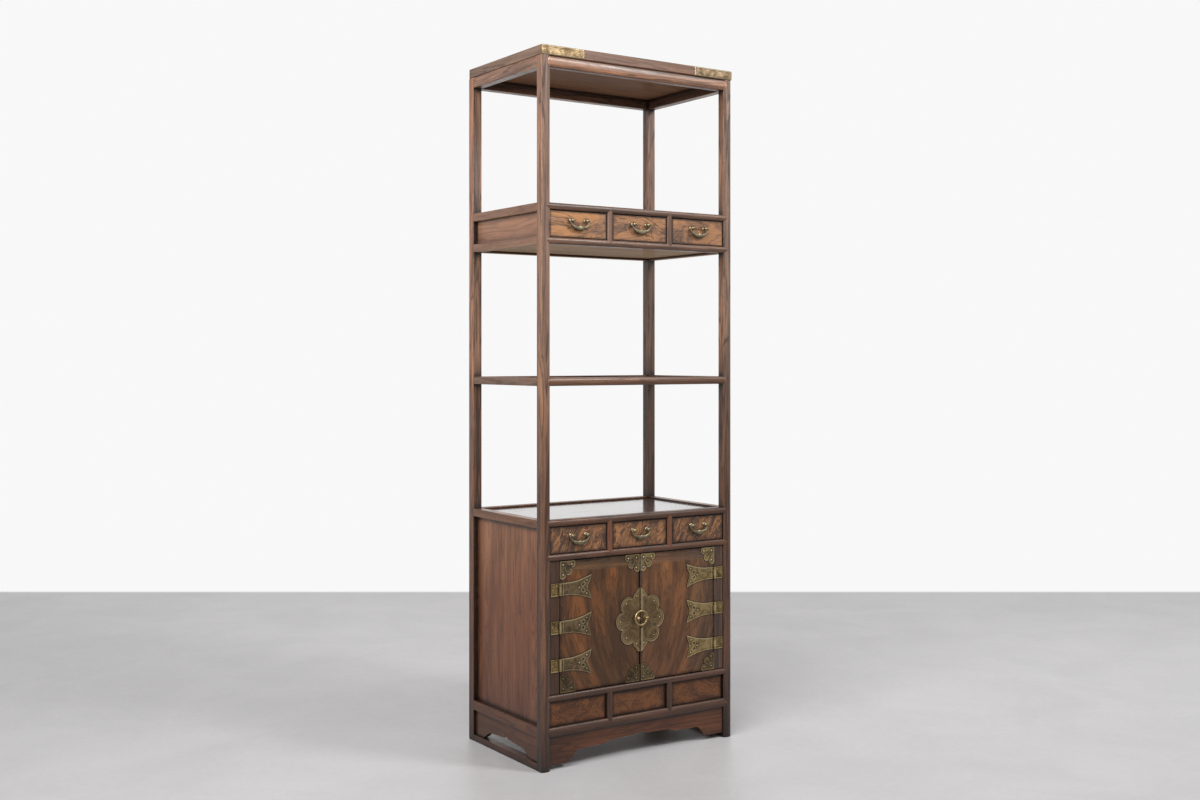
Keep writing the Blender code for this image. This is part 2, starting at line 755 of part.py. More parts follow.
def build_lower_case(wood, panel, dark):
    """Drawer tier and cupboard in the lower half, down to the floor."""
    piece("lower_drawer_frame", face_frame(LOWER_DRAWER_BOTTOM, LOWER_DRAWER_TOP, FRONT + POST - EDGE), wood)
    piece("base_frame", face_frame(BASE_TOP, BASE_RAIL, FRONT + BASE_RECESS - GAP, BASE_FOOT), wood)
    piece("base_board", base_board(), panel)
    piece("stile_left", stile(LEFT), dark)
    piece("stile_right", stile(RIGHT), dark)
    piece("lower_left_side", lower_side(LEFT), panel)
    piece("lower_right_side", lower_side(RIGHT), panel)
    piece("lower_back", back_frame(LEG, LOWER_TOP), panel)
    piece("lower_case_top", inner_board(LOWER_TOP - BOARD_RECESS - BOARD, LOWER_TOP - BOARD_RECESS), panel)
    piece("drawer_board", guided_board(LOWER_DRAWER_BOTTOM - BOARD, LOWER_DRAWER_BOTTOM), panel)
    piece("cupboard_floor", inner_board(DOOR_BOTTOM - BOARD, DOOR_BOTTOM + DOOR_STOP), panel)
    piece("front_apron", front_apron(), wood)
    piece("stretcher_left", stretcher(LEFT), wood)
    piece("stretcher_right", stretcher(RIGHT), wood)


def build_posts(wood):
    """Corner posts, cut for the rails made before them."""
    for side, across in ((LEFT, "left"), (RIGHT, "right")):
        for end, along in ((NEAR, "front"), (FAR, "back")):
            piece(f"post_{along}_{across}", post(side, end), wood)


def build_drawers(tier, low, high, burl, brass):
    """Row of three drawers with their drop handles."""
    for column, place in enumerate(("left", "middle", "right")):
        middle = (column - 1) * DRAWER_STEP
        body = piece(f"{tier}_drawer_{place}", drawer(middle, low, high), burl, (middle, FACE, low))
        height = handle_height(low, high)
        piece(f"{tier}_bail_{place}", bail(middle, height), brass, (middle, HANDLE_Y, height), body)


def build_doors(figured, brass):
    """Doors with their hinges and the two halves of the lock plate."""
    doors = {}
    for side, across in ((LEFT, "left"), (RIGHT, "right")):
        pivot = (side * HINGE_PIN, HINGE_Y, DOOR_MIDDLE)
        doors[side] = piece(f"door_{across}", door(side), figured, pivot)
        for step, place in ((1, "top"), (0, "middle"), (-1, "bottom")):
            height = DOOR_MIDDLE + step * HINGE_STEP
            pin = (side * HINGE_PIN, HINGE_Y, height)
            piece(f"hinge_strap_{across}_{place}", hinge_strap(side, height), brass, pin, doors[side])
            piece(f"hinge_leaf_{across}_{place}", hinge_leaf(side, height), brass, pin)
    piece("lock_plate_left", lock_plate_left(), brass, parent=doors[LEFT])
    piece("lock_plate_right", lock_plate_right(), brass, parent=doors[RIGHT])
    piece("latch_ring", latch_ring(), brass, (EYE_OFFSET, RING_Y, DOOR_MIDDLE), doors[RIGHT])


def main():
    """Build every piece of the stand."""
    clear_scene()
    wood = finish("red_brown_wood", (0.16, 0.07, 0.04), 0.4)
    panel = finish("panel_wood", (0.19, 0.09, 0.05), 0.45)
    dark = finish("dark_wood", (0.04, 0.018, 0.012), 0.4)
    upper_burl = finish("light_burl", (0.42, 0.2, 0.08), 0.4)
    lower_burl = finish("dark_burl", (0.24, 0.11, 0.06), 0.4)
    figured = finish("figured_wood", (0.1, 0.045, 0.03), 0.35)
    brass = finish("aged_brass", (0.42, 0.33, 0.16), 0.35, 1.0)
    build_top(wood)
    build_upper_case(wood, panel)
    build_shelf(wood)
    build_lower_case(wood, panel, dark)
    build_posts(wood)
    build_drawers("upper", UPPER_DRAWER_BOTTOM, UPPER_DRAWER_TOP, upper_burl, brass)
    build_drawers("lower", LOWER_DRAWER_BOTTOM, LOWER_DRAWER_TOP, lower_burl, brass)
    build_doors(figured, brass)


main()
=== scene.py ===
"""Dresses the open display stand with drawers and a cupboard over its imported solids.

Sizes are in metres, in the stand's own frame: +Z up, the front faces -Y and the floor is at Z = 0.
"""

import json
import logging
import math
from dataclasses import dataclass, field, replace
from enum import Enum
from typing import Any, Sequence

import bmesh
import bpy
import numpy as np
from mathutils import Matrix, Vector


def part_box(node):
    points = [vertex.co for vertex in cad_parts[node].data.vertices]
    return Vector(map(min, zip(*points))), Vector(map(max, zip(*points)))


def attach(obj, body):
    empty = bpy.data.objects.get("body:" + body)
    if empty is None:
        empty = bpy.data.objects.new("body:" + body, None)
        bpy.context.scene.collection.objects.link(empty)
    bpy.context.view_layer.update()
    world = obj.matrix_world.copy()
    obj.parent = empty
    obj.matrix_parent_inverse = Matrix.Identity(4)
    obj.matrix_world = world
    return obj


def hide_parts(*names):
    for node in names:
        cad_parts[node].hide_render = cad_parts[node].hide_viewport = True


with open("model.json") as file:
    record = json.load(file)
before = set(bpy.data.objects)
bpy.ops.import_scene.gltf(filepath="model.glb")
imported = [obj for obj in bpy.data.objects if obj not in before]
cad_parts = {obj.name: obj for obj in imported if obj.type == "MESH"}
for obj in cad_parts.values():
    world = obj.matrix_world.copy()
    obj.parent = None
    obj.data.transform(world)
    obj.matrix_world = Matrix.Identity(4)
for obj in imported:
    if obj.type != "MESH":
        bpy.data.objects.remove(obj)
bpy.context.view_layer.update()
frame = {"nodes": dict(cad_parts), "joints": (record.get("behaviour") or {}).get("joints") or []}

LOG = logging.getLogger("display_stand")
MM = 0.001
ORIGIN = (0.0, 0.0, 0.0)
JOINTS = {joint["name"]: joint for joint in frame["joints"]}
Array = np.ndarray
Colour = tuple[float, float, float, float]
Point = tuple[float, float, float]
Socket = bpy.types.NodeSocket
Tree = bpy.types.NodeTree
Material = bpy.types.Material


def srgb(red: int, green: int, blue: int) -> Colour:
    """Linear colour with full alpha for an 8-bit display colour.

    Args:
        red, green, blue: display values from 0 to 255.

    Returns:
        Red, green, blue and alpha as linear shares.
    """
    share = np.array((red, green, blue)) / 255
    linear = np.where(share <= 0.04045, share / 12.92, ((share + 0.055) / 1.055) ** 2.4)
    return (*linear.tolist(), 1.0)


def shaded(colour: Colour, share: float) -> Colour:
    """A share of a linear colour, with full alpha."""
    return (*(share * part for part in colour[:3]), 1.0)


def corners(node: str) -> Array:
    """Lowest and highest corner of one solid, to a thousandth of a millimetre."""
    return np.array(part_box(node)).round(6)


def middle_of(node: str, axis: int) -> float:
    """Middle of one solid along an axis, which is 0, 1 or 2 for X, Y or Z."""
    return corners(node)[:, axis].mean()


class Side(Enum):
    """Half of the stand, as seen from the front."""

    LEFT = -1
    RIGHT = 1

    @property
    def label(self) -> str:
        """The side's name as the nodes spell it."""
        return self.name.lower()


class Grain(Enum):
    """Direction in which the wood's grain runs, as the stretch of its pattern along each axis."""

    ALONG_X = (0.06, 1.0, 1.0)
    ALONG_Y = (1.0, 0.06, 1.0)
    ALONG_Z = (1.0, 1.0, 0.06)


class Figure(Enum):
    """Kind of figure that the wood shows over its grain."""

    PLAIN = "plain"
    BURL = "burl"
    FLAME = "flame"


# Shader nodes


class NodeBench:
    """Adds nodes to one shader tree and links each as it is made."""

    def __init__(self, tree: Tree) -> None:
        """Keeps the tree that the nodes go into."""
        self.tree = tree

    def feed(self, socket: Socket, value: Any) -> None:
        """Links a socket to another one, or sets its value.

        Args:
            socket: the input to fill.
            value: another socket, or a plain value.
        """
        if isinstance(value, bpy.types.NodeSocket):
            self.tree.links.new(value, socket)
        else:
            socket.default_value = value

    def add(self, kind: str, inputs: dict[Any, Any] | None = None, **settings: Any) -> bpy.types.Node:
        """Adds one node.

        Args:
            kind: Blender's name for the node.
            inputs: values or sockets for its inputs, by name or number.
            settings: properties of the node itself, set before its inputs.

        Returns:
            The new node.
        """
        node = self.tree.nodes.new(kind)
        for name, value in settings.items():
            setattr(node, name, value)
        for key, value in (inputs or {}).items():
            self.feed(node.inputs[key], value)
        return node

    def group(self, tree: Tree, inputs: dict[str, Any]) -> Any:
        """Outputs, by name, of a shared node group placed with its own inputs."""
        return self.add("ShaderNodeGroup", inputs, node_tree=tree).outputs

    def reckon(
        self, operation: str, first: Any, second: Any = 0.0, third: Any = 0.0, clamp: bool = False,
    ) -> Socket:
        """Result of one arithmetic node, by Blender's name for it, held between 0 and 1 if asked."""
        inputs = {0: first, 1: second, 2: third}
        return self.add("ShaderNodeMath", inputs, operation=operation, use_clamp=clamp).outputs[0]

    def times(self, first: Any, second: Any) -> Socket:
        """Product of two values."""
        return self.reckon("MULTIPLY", first, second)

    def plus(self, first: Any, second: Any, clamp: bool = False) -> Socket:
        """Sum of two values, held between 0 and 1 if asked."""
        return self.reckon("ADD", first, second, clamp=clamp)

    def minus(self, first: Any, second: Any, clamp: bool = False) -> Socket:
        """Difference of two values, held between 0 and 1 if asked."""
        return self.reckon("SUBTRACT", first, second, clamp=clamp)

    def larger(self, first: Any, second: Any) -> Socket:
        """The larger of two values."""
        return self.reckon("MAXIMUM", first, second)

    def span(self, value: Any, low: float, high: float, to_low: float = 0.0, to_high: float = 1.0) -> Socket:
        """Value carried smoothly from one range to another and held inside it."""
        inputs = {"Value": value, "From Min": low, "From Max": high, "To Min": to_low, "To Max": to_high}
        return self.add("ShaderNodeMapRange", inputs, interpolation_type="SMOOTHSTEP").outputs["Result"]

    def between(self, first: Any, second: Any, share: Any) -> Socket:
        """Value between two others, at a share of the way to the second."""
        return self.add("ShaderNodeMix", {0: share, 2: first, 3: second}, data_type="FLOAT").outputs[0]

    def mix(self, first: Any, second: Any, share: Any, blend: str = "MIX") -> Socket:
        """Colour between two others, by a share of the second and Blender's name for a way of mixing."""
        node = self.add("ShaderNodeMix", {0: share, 6: first, 7: second}, data_type="RGBA", blend_type=blend)
        return node.outputs[2]

    def graded(self, value: Any, stops: Sequence[tuple[float, Colour]]) -> Socket:
        """Colour from a row of stops.

        Args:
            value: place along the row, from 0 to 1.
            stops: places and their colours, in order.

        Returns:
            The colour's socket.
        """
        node = self.add("ShaderNodeValToRGB", {"Fac": value})
        elements = node.color_ramp.elements
        while len(elements) < len(stops):
            elements.new(0.5)
        for element, (place, colour) in zip(elements, stops):
            element.position = place
            element.color = colour
        return node.outputs["Color"]

    def noise(
        self, vector: Any, scale: Any, detail: float = 2.0, rough: float = 0.5, twist: float = 0.0,
    ) -> Socket:
        """Value of a cloudy noise of so many clouds a metre, with its finer layers and swirl."""
        inputs = {"Vector": vector, "Scale": scale, "Detail": detail, "Roughness": rough, "Distortion": twist}
        return self.add("ShaderNodeTexNoise", inputs).outputs["Fac"]

    def object_place(self) -> Socket:
        """Place on the piece in its own coordinates."""
        return self.add("ShaderNodeTexCoord").outputs["Object"]

    def facing(self) -> tuple[Socket, Socket, Socket]:
        """The three parts of the way that the surface faces, in the piece's own coordinates."""
        return self.parts(self.add("ShaderNodeTexCoord").outputs["Normal"])

    def mapped(self, vector: Socket, scale: Point, turn: Point = ORIGIN) -> Socket:
        """Place after a stretch and a turn, in radians."""
        return self.add("ShaderNodeMapping", {"Vector": vector, "Scale": scale, "Rotation": turn}).outputs[0]

    def parts(self, vector: Socket) -> tuple[Socket, Socket, Socket]:
        """The three parts of a place."""
        node = self.add("ShaderNodeSeparateXYZ", {0: vector})
        return node.outputs[0], node.outputs[1], node.outputs[2]


class Effects:
    """Shader node groups that the finishes share, each built once."""

    def __init__(self) -> None:
        """Builds every group."""
        self.grain = self.wood_grain()
        self.burl = self.burl_figure()
        self.flame = self.flame_figure()
        self.wear = self.edge_wear()
        self.grime = self.panel_grime()
        self.crevice = self.joint_dirt()
        self.age = self.aged_surface()
        self.soil = self.foot_soil()
        self.fade = self.sun_fade()
        self.patina = self.brass_patina()

    @staticmethod
    def started(
        name: str, inputs: dict[str, Any], outputs: Sequence[str],
    ) -> tuple[NodeBench, dict[str, Socket], bpy.types.Node]:
        """Starts one group.

        Args:
            name: the group's name.
            inputs: default of each input; a row of three makes a vector.
            outputs: names of its values.

        Returns:
            The bench, the group's inputs by name, and the node that takes its values.
        """
        tree = bpy.data.node_groups.new(name, "ShaderNodeTree")
        for label, default in inputs.items():
            kind = "NodeSocketVector" if isinstance(default, tuple) else "NodeSocketFloat"
            tree.interface.new_socket(label, in_out="INPUT", socket_type=kind).default_value = default
        for label in outputs:
            tree.interface.new_socket(label, in_out="OUTPUT", socket_type="NodeSocketFloat")
        bench = NodeBench(tree)
        entry = bench.add("NodeGroupInput")
        return bench, {label: entry.outputs[label] for label in inputs}, bench.add("NodeGroupOutput")

    def wood_grain(self) -> Tree:
        """Straight grain: broad bands, streaks, growth lines along the bands' contours, fibre and pores.

        Returns:
            The group's tree.
        """
        inputs = {"Vector": ORIGIN, "Streaks": 120.0, "Lines": 60.0}
        bench, given, out = self.started("wood_grain", inputs, ("Band", "Streak", "Line", "Fibre", "Pore"))
        place = given["Vector"]
        streaks = given["Streaks"]
        band = bench.noise(place, bench.times(streaks, 0.22), detail=2.0, rough=0.5, twist=0.6)
        streak = bench.noise(place, streaks, detail=4.0, rough=0.6, twist=0.3)
        wave = bench.reckon("SINE", bench.times(band, given["Lines"]))
        line = bench.span(bench.plus(wave, bench.times(streak, 0.7)), 0.75, 1.35)
        fibre = bench.noise(place, bench.times(streaks, 5.0), detail=3.0, rough=0.7)
        pore = bench.span(bench.noise(place, bench.times(streaks, 9.0), detail=1.0), 0.6, 0.72)
        values = {"Band": band, "Streak": streak, "Line": line, "Fibre": fibre, "Pore": pore}
        for label, value in values.items():
            bench.feed(out.inputs[label], value)
        return bench.tree

    def burl_figure(self) -> Tree:
        """Burl: swirled clouds, dark veins along their contours, small dark eyes and a fine ripple.

        Returns:
            The group's tree.
        """
        inputs = {"Vector": ORIGIN, "Scale": 22.0, "Swirl": 0.03}
        bench, given, out = self.started("burl_figure", inputs, ("Cloud", "Vein", "Eye", "Curl"))
        place = given["Vector"]
        scale = given["Scale"]
        drift = bench.add("ShaderNodeTexNoise", {"Vector": place, "Scale": scale, "Detail": 2.0})
        centring = {0: drift.outputs["Color"], 1: (0.5, 0.5, 0.5)}
        centred = bench.add("ShaderNodeVectorMath", centring, operation="SUBTRACT").outputs[0]
        pulling = {0: centred, 3: given["Swirl"]}
        pulled = bench.add("ShaderNodeVectorMath", pulling, operation="SCALE").outputs[0]
        moved = bench.add("ShaderNodeVectorMath", {0: place, 1: pulled}, operation="ADD").outputs[0]
        cloud = bench.noise(moved, scale, detail=4.0, rough=0.55, twist=0.8)
        swirl = bench.noise(moved, scale, detail=3.0, rough=0.6, twist=1.6)
        contour = bench.reckon("ABSOLUTE", bench.minus(swirl, 0.5))
        bench.feed(out.inputs["Cloud"], cloud)
        bench.feed(out.inputs["Vein"], bench.span(contour, 0.0, 0.03, 1.0, 0.0))
        eye = bench.noise(moved, bench.times(scale, 9.0), detail=2.0, rough=0.6)
        bench.feed(out.inputs["Eye"], bench.span(eye, 0.58, 0.72))
        curl = bench.reckon("SINE", bench.times(cloud, 70.0))
        bench.feed(out.inputs["Curl"], bench.span(curl, -1.0, 1.0))
        return bench.tree

    def flame_figure(self) -> Tree:
        """Flame: streaks matched either side of the middle, leaning in downwards and bowed with height.

        Returns:
            The group's tree.
        """
        inputs = {"Vector": ORIGIN, "Scale": 24.0, "Lean": 0.22, "Bow": 1.1, "Height": 0.32}
        bench, given, out = self.started("flame_figure", inputs, ("Flame", "Line", "Fibre"))
        across, deep, up = bench.parts(given["Vector"])
        above = bench.minus(up, given["Height"])
        lean = bench.times(above, given["Lean"])
        bow = bench.times(bench.times(above, above), given["Bow"])
        level = bench.plus(bench.minus(bench.reckon("ABSOLUTE", across), lean), bow)
        place = bench.add("ShaderNodeCombineXYZ", {0: level, 1: deep, 2: bench.times(up, 0.13)}).outputs[0]
        flame = bench.noise(place, given["Scale"], detail=4.0, rough=0.55, twist=0.5)
        bench.feed(out.inputs["Flame"], flame)
        wave = bench.reckon("SINE", bench.times(flame, 75.0))
        bench.feed(out.inputs["Line"], bench.span(wave, 0.35, 1.0))
        fibre = bench.noise(place, bench.times(given["Scale"], 22.0), detail=3.0, rough=0.7)
        bench.feed(out.inputs["Fibre"], fibre)
        return bench.tree

    def edge_wear(self) -> Tree:
        """Wear on edges: where the rounded normal leaves the true one, broken up by a noise.

        Returns:
            The group's tree.
        """
        inputs = {"Vector": ORIGIN, "Radius": 1.8 * MM, "Breaks": 90.0}
        bench, given, out = self.started("edge_wear", inputs, ("Wear",))
        rounded = bench.add("ShaderNodeBevel", {"Radius": given["Radius"]}, samples=4).outputs[0]
        true = bench.add("ShaderNodeNewGeometry").outputs["Normal"]
        same = bench.add("ShaderNodeVectorMath", {0: rounded, 1: true}, operation="DOT_PRODUCT")
        edge = bench.span(same.outputs["Value"], 0.995, 0.86)
        cloud = bench.noise(given["Vector"], given["Breaks"], detail=3.0, rough=0.6)
        bench.feed(out.inputs["Wear"], bench.times(edge, bench.span(cloud, 0.36, 0.6)))
        return bench.tree

    def panel_grime(self) -> Tree:
        """Mask round the border of a panel, for old polish and for a painted gap shadow at the joint, for
        panels that repeat at a pitch.

        Returns:
            The group's tree.
        """
        inputs = {
            "Vector": ORIGIN, "Offset": 0.0, "Pitch": 0.17, "Half Width": 0.07,
            "Height": 0.3, "Half Height": 0.03, "Reach": 0.02, "Uneven": 1.4,
        }
        bench, given, out = self.started("panel_grime", inputs, ("Grime",))
        across, _, up = bench.parts(given["Vector"])
        half = bench.times(given["Pitch"], 0.5)
        local = bench.reckon("WRAP", bench.minus(across, given["Offset"]), half, bench.times(half, -1.0))
        aside = bench.minus(given["Half Width"], bench.reckon("ABSOLUTE", local))
        above = bench.reckon("ABSOLUTE", bench.minus(up, given["Height"]))
        inset = bench.reckon("MINIMUM", aside, bench.minus(given["Half Height"], above))
        cloud = bench.minus(bench.noise(given["Vector"], 45.0, detail=3.0), 0.5)
        cloud = bench.times(cloud, given["Uneven"])
        share = bench.plus(bench.reckon("DIVIDE", inset, given["Reach"]), cloud)
        bench.feed(out.inputs["Grime"], bench.span(share, 0.0, 1.0, 1.0, 0.0))
        return bench.tree

    def joint_dirt(self) -> Tree:
        """Soiling and painted shade in joints and recesses: where little open space is near, broken up by a
        noise.

        Returns:
            The group's tree.
        """
        inputs = {"Vector": ORIGIN, "Reach": 7 * MM}
        bench, given, out = self.started("joint_dirt", inputs, ("Dirt",))
        space = bench.add("ShaderNodeAmbientOcclusion", {"Distance": given["Reach"]}, samples=6).outputs["AO"]
        cloud = bench.span(bench.noise(given["Vector"], 60.0, detail=3.0), 0.2, 0.7, 0.75, 1.0)
        bench.feed(out.inputs["Dirt"], bench.times(bench.span(space, 0.64, 0.98, 1.0, 0.0), cloud))
        return bench.tree

    def foot_soil(self) -> Tree:
        """Darker towards the floor: full at the floor, gone at a height, with a cloudy edge.

        Returns:
            The group's tree.
        """
        bench, given, out = self.started("foot_soil", {"Vector": ORIGIN, "Top": 0.32}, ("Soil",))
        cloud = bench.times(bench.minus(bench.noise(given["Vector"], 14.0, detail=4.0), 0.5), 0.5)
        up = bench.parts(given["Vector"])[2]
        share = bench.plus(bench.reckon("DIVIDE", up, given["Top"]), cloud)
        bench.feed(out.inputs["Soil"], bench.span(share, -0.2, 1.0, 1.0, 0.0))
        return bench.tree

    def sun_fade(self) -> Tree:
        """Sun bleaching and painted light from above: none below one height, full above another, with a
        cloudy edge.

        Returns:
            The group's tree.
        """
        inputs = {"Vector": ORIGIN, "Low": 0.5, "High": 1.3}
        bench, given, out = self.started("sun_fade", inputs, ("Fade",))
        cloud = bench.times(bench.minus(bench.noise(given["Vector"], 9.0, detail=4.0), 0.5), 0.3)
        above = bench.minus(bench.parts(given["Vector"])[2], given["Low"])
        share = bench.reckon("DIVIDE", above, bench.minus(given["High"], given["Low"]))
        bench.feed(out.inputs["Fade"], bench.span(bench.plus(share, cloud), 0.0, 1.0))
        return bench.tree

    def aged_surface(self) -> Tree:
        """Handling marks: soft patches of duller polish, and fine scratches both ways.

        Returns:
            The group's tree.
        """
        inputs = {"Vector": ORIGIN, "Scale": 14.0}
        bench, given, out = self.started("aged_surface", inputs, ("Patch", "Scratch"))
        patch = bench.noise(given["Vector"], given["Scale"], detail=5.0, rough=0.6, twist=0.4)
        bench.feed(out.inputs["Patch"], bench.span(patch, 0.32, 0.7))
        fine = bench.mapped(given["Vector"], (1.0, 1.0, 0.05), (0.3, 0.2, 0.4))
        bench.feed(out.inputs["Scratch"], bench.span(bench.noise(fine, 700.0, detail=1.0), 0.66, 0.72))
        return bench.tree

    def brass_patina(self) -> Tree:
        """Age of brass: soft tarnish, dark spots and rubbed streaks.

        Returns:
            The group's tree.
        """
        inputs = {"Vector": ORIGIN, "Scale": 60.0}
        bench, given, out = self.started("brass_patina", inputs, ("Tarnish", "Spot", "Rub"))
        place = given["Vector"]
        scale = given["Scale"]
        tarnish = bench.noise(place, scale, detail=5.0, rough=0.65, twist=0.7)
        bench.feed(out.inputs["Tarnish"], bench.span(tarnish, 0.3, 0.72))
        spot = bench.noise(place, bench.times(scale, 6.0), detail=2.0, rough=0.6)
        bench.feed(out.inputs["Spot"], bench.span(spot, 0.6, 0.7))
        rub = bench.noise(bench.mapped(place, (1.0, 1.0, 6.0)), bench.times(scale, 4.0), detail=2.0)
        bench.feed(out.inputs["Rub"], rub)
        return bench.tree


# Finishes


OLD_POLISH: Colour = (0.22, 0.17, 0.15, 1.0)
# Near-black of the painted gap shadow round drawers and doors.
GAP_SHADOW: Colour = (0.009, 0.006, 0.004, 1.0)
# Near-black of the soiling and painted shade in joints and recesses.
JOINT_SOILING_AND_SHADE: Colour = (0.006, 0.004, 0.003, 1.0)
# Tone that the wood is darkened by towards the floor.
FLOOR_DARK_TONE: Colour = (0.18, 0.155, 0.14, 1.0)
# Tone of the painted shade in inner corners.
CORNER_SHADE: Colour = (0.36, 0.34, 0.34, 1.0)
RAIL_SHADE: Colour = (0.80, 0.83, 0.84, 1.0)
END_SHADE: Colour = (0.8, 0.92, 1.03, 1.0)
BARE_WOOD = (srgb(122, 86, 56), srgb(164, 122, 82))
WOOD_RELIEF = 0.6 * MM
DRY_ROUGHNESS = 0.9


@dataclass(frozen=True)
class Border:
    """Dark border of panels in a row: their places, the polish's reach and wander, and the width of the
    painted gap shadow at the joint.
    """

    offset: float
    pitch: float
    half_width: float
    height: float
    half_height: float
    reach: float
    # Width of the painted gap shadow at the joint, partly the dark joint itself.
    joint: float = 4.2 * MM
    uneven: float = 1.4

    def mask(self, bench: NodeBench, effects: Effects, place: Socket, reach: float, uneven: float) -> Socket:
        """Mask that is full at the panels' edges and gone at a reach inside them.

        Args:
            bench: the material's nodes.
            effects: the shared node groups.
            place: place on the piece.
            reach: how far in the mask goes.
            uneven: how far its edge wanders, as a share of the reach.

        Returns:
            The mask's socket.
        """
        inputs = {
            "Vector": place, "Offset": self.offset, "Pitch": self.pitch, "Half Width": self.half_width,
            "Height": self.height, "Half Height": self.half_height, "Reach": reach, "Uneven": uneven,
        }
        return bench.group(effects.grime, inputs)["Grime"]


@dataclass(frozen=True)
class WoodFinish:
    """One oiled and polished wood, from its darkest growth to its worn edges.

    Attributes:
        dark, middle, light: colours of the grain.
        worn, wear: colour of rubbed edges, and how much of it shows.
        streaks, lines, spread, line_depth: fineness and contrast of the straight grain.
        scale, stretch, lean, curl: size, stretch, turn in degrees and ripple of a burl or flame.
        roughness, coat, coat_roughness, relief, shine: polish and surface.
        dirt, dirt_reach, soil, gloom: soiling and painted shade in joints and its reach, darkening towards
            the floor, reach of painted shade in corners.
        fade, faded, faded_front: heights that sun bleaching and painted light from above run between, what
            they multiply the colour by, and the same for front faces with a painted sheen.
        border: dark border round panels, with a painted gap shadow at their joints.
        raw_below, inside: colour of dry undersides, and the depth behind which the wood is bare.
        rails, framed: heights outside which rails lie, and whether the ends are framed.
        band, dusty, hinged: height of a door's head band, what dusts it, and what dulls the hinge side.
    """

    name: str
    dark: Colour
    middle: Colour
    light: Colour
    worn: Colour = srgb(150, 108, 76)
    figure: Figure = Figure.PLAIN
    streaks: float = 120.0
    spread: float = 0.2
    lines: float = 60.0
    line_depth: float = 0.45
    scale: float = 22.0
    stretch: Point = (0.75, 1.0, 1.15)
    lean: float = 0.0
    curl: float = 0.18
    roughness: float = 0.4
    coat: float = 0.06
    coat_roughness: float = 0.18
    relief: float = 0.25
    wear: float = 0.35
    dirt: float = 0.85
    dirt_reach: float = 7 * MM
    soil: float = 0.0
    gloom: float = 0.0
    fade: tuple[float, float] | None = None
    faded: Colour = (2.2, 2.1, 2.05, 1.0)
    faded_front: Colour | None = None
    shine: float = 0.3
    border: Border | None = None
    raw_below: Colour | None = None
    rails: tuple[float, float] | None = None
    framed: bool = False
    inside: float | None = None
    band: float | None = None
    dusty: Colour = (1.0, 1.0, 1.0, 1.0)
    hinged: Colour | None = None

    def build(self, effects: Effects, grain: Grain) -> Material:
        """Makes the material for one direction of grain.

        Args:
            effects: the shared node groups.
            grain: the direction.

        Returns:
            The material.
        """
        material = bpy.data.materials.new(f"{self.name}_{grain.name.lower()}")
        material.use_nodes = True
        bench = NodeBench(material.node_tree)
        shader = material.node_tree.nodes["Principled BSDF"]
        place = bench.object_place()
        colour, height = self.plain(bench, effects, place, grain)
        straight = height
        if self.rails is not None:
            colour, height = self.with_rails(bench, effects, place, colour, height)
        if self.framed:
            colour, height = self.with_ends(bench, effects, place, colour, height)
        if self.figure is Figure.BURL:
            colour, height = self.burled(bench, effects, place, height)
        if self.figure is Figure.FLAME:
            colour, height = self.flamed(bench, effects, place, colour, height)
        colour = self.aged(bench, effects, place, colour, straight)
        handling = bench.group(effects.age, {"Vector": place})
        rough = bench.plus(bench.times(handling["Patch"], 0.16), self.roughness - 0.06)
        rough = bench.plus(rough, bench.times(height, -0.1), clamp=True)
        if self.raw_below is not None:
            rough = bench.larger(rough, bench.times(self.underneath(bench), DRY_ROUGHNESS))
        relief = bench.minus(height, bench.times(handling["Scratch"], 0.25))
        bumps = {"Height": relief, "Strength": self.relief, "Distance": WOOD_RELIEF}
        bench.feed(shader.inputs["Base Color"], colour)
        bench.feed(shader.inputs["Roughness"], rough)
        bench.feed(shader.inputs["Normal"], bench.add("ShaderNodeBump", bumps).outputs[0])
        shader.inputs["Specular IOR Level"].default_value = self.shine
        shader.inputs["Coat Weight"].default_value = self.coat
        shader.inputs["Coat Roughness"].default_value = self.coat_roughness
        return material

    @staticmethod
    def underneath(bench: NodeBench) -> Socket:
        """Mask of the faces that look down."""
        return bench.span(bench.facing()[2], -0.6, -0.9)

    def plain(self, bench: NodeBench, effects: Effects, place: Socket, grain: Grain) -> tuple[Socket, Socket]:
        """Straight-grained colour and relief.

        Args:
            bench: the material's nodes.
            effects: the shared node groups.
            place: place on the piece.
            grain: direction of the grain.

        Returns:
            Colour and height sockets.
        """
        inputs = {"Vector": bench.mapped(place, grain.value), "Streaks": self.streaks, "Lines": self.lines}
        given = bench.group(effects.grain, inputs)
        tone = bench.plus(bench.times(given["Band"], 0.55), bench.times(given["Streak"], 0.45))
        tone = bench.plus(tone, bench.times(bench.minus(given["Fibre"], 0.5), 0.22))
        stops = ((0.5 - self.spread, self.dark), (0.5, self.middle), (0.5 + self.spread, self.light))
        colour = bench.graded(tone, stops)
        marks = bench.times(given["Line"], self.line_depth)
        marks = bench.larger(marks, bench.times(given["Pore"], 0.4))
        colour = bench.mix(colour, shaded(self.dark, 0.35), marks)
        height = bench.minus(given["Fibre"], bench.times(marks, 0.8))
        return colour, height

    def with_rails(
        self, bench: NodeBench, effects: Effects, place: Socket, colour: Socket, height: Socket,
    ) -> tuple[Socket, Socket]:
        """Grain of the rails above and below an upright panel, in the same solid and a little darker.

        Args:
            bench, effects, place: as for the plain grain.
            colour, height: the panel's own.

        Returns:
            Colour and height with the rails' grain laid in.
        """
        rail_colour, rail_height = self.plain(bench, effects, place, Grain.ALONG_Y)
        _, _, up = bench.parts(place)
        low, high = self.rails
        rail = bench.larger(bench.reckon("LESS_THAN", up, low), bench.reckon("GREATER_THAN", up, high))
        darker = bench.mix(rail_colour, RAIL_SHADE, rail, "MULTIPLY")
        return bench.mix(colour, darker, rail), bench.between(height, rail_height, rail)

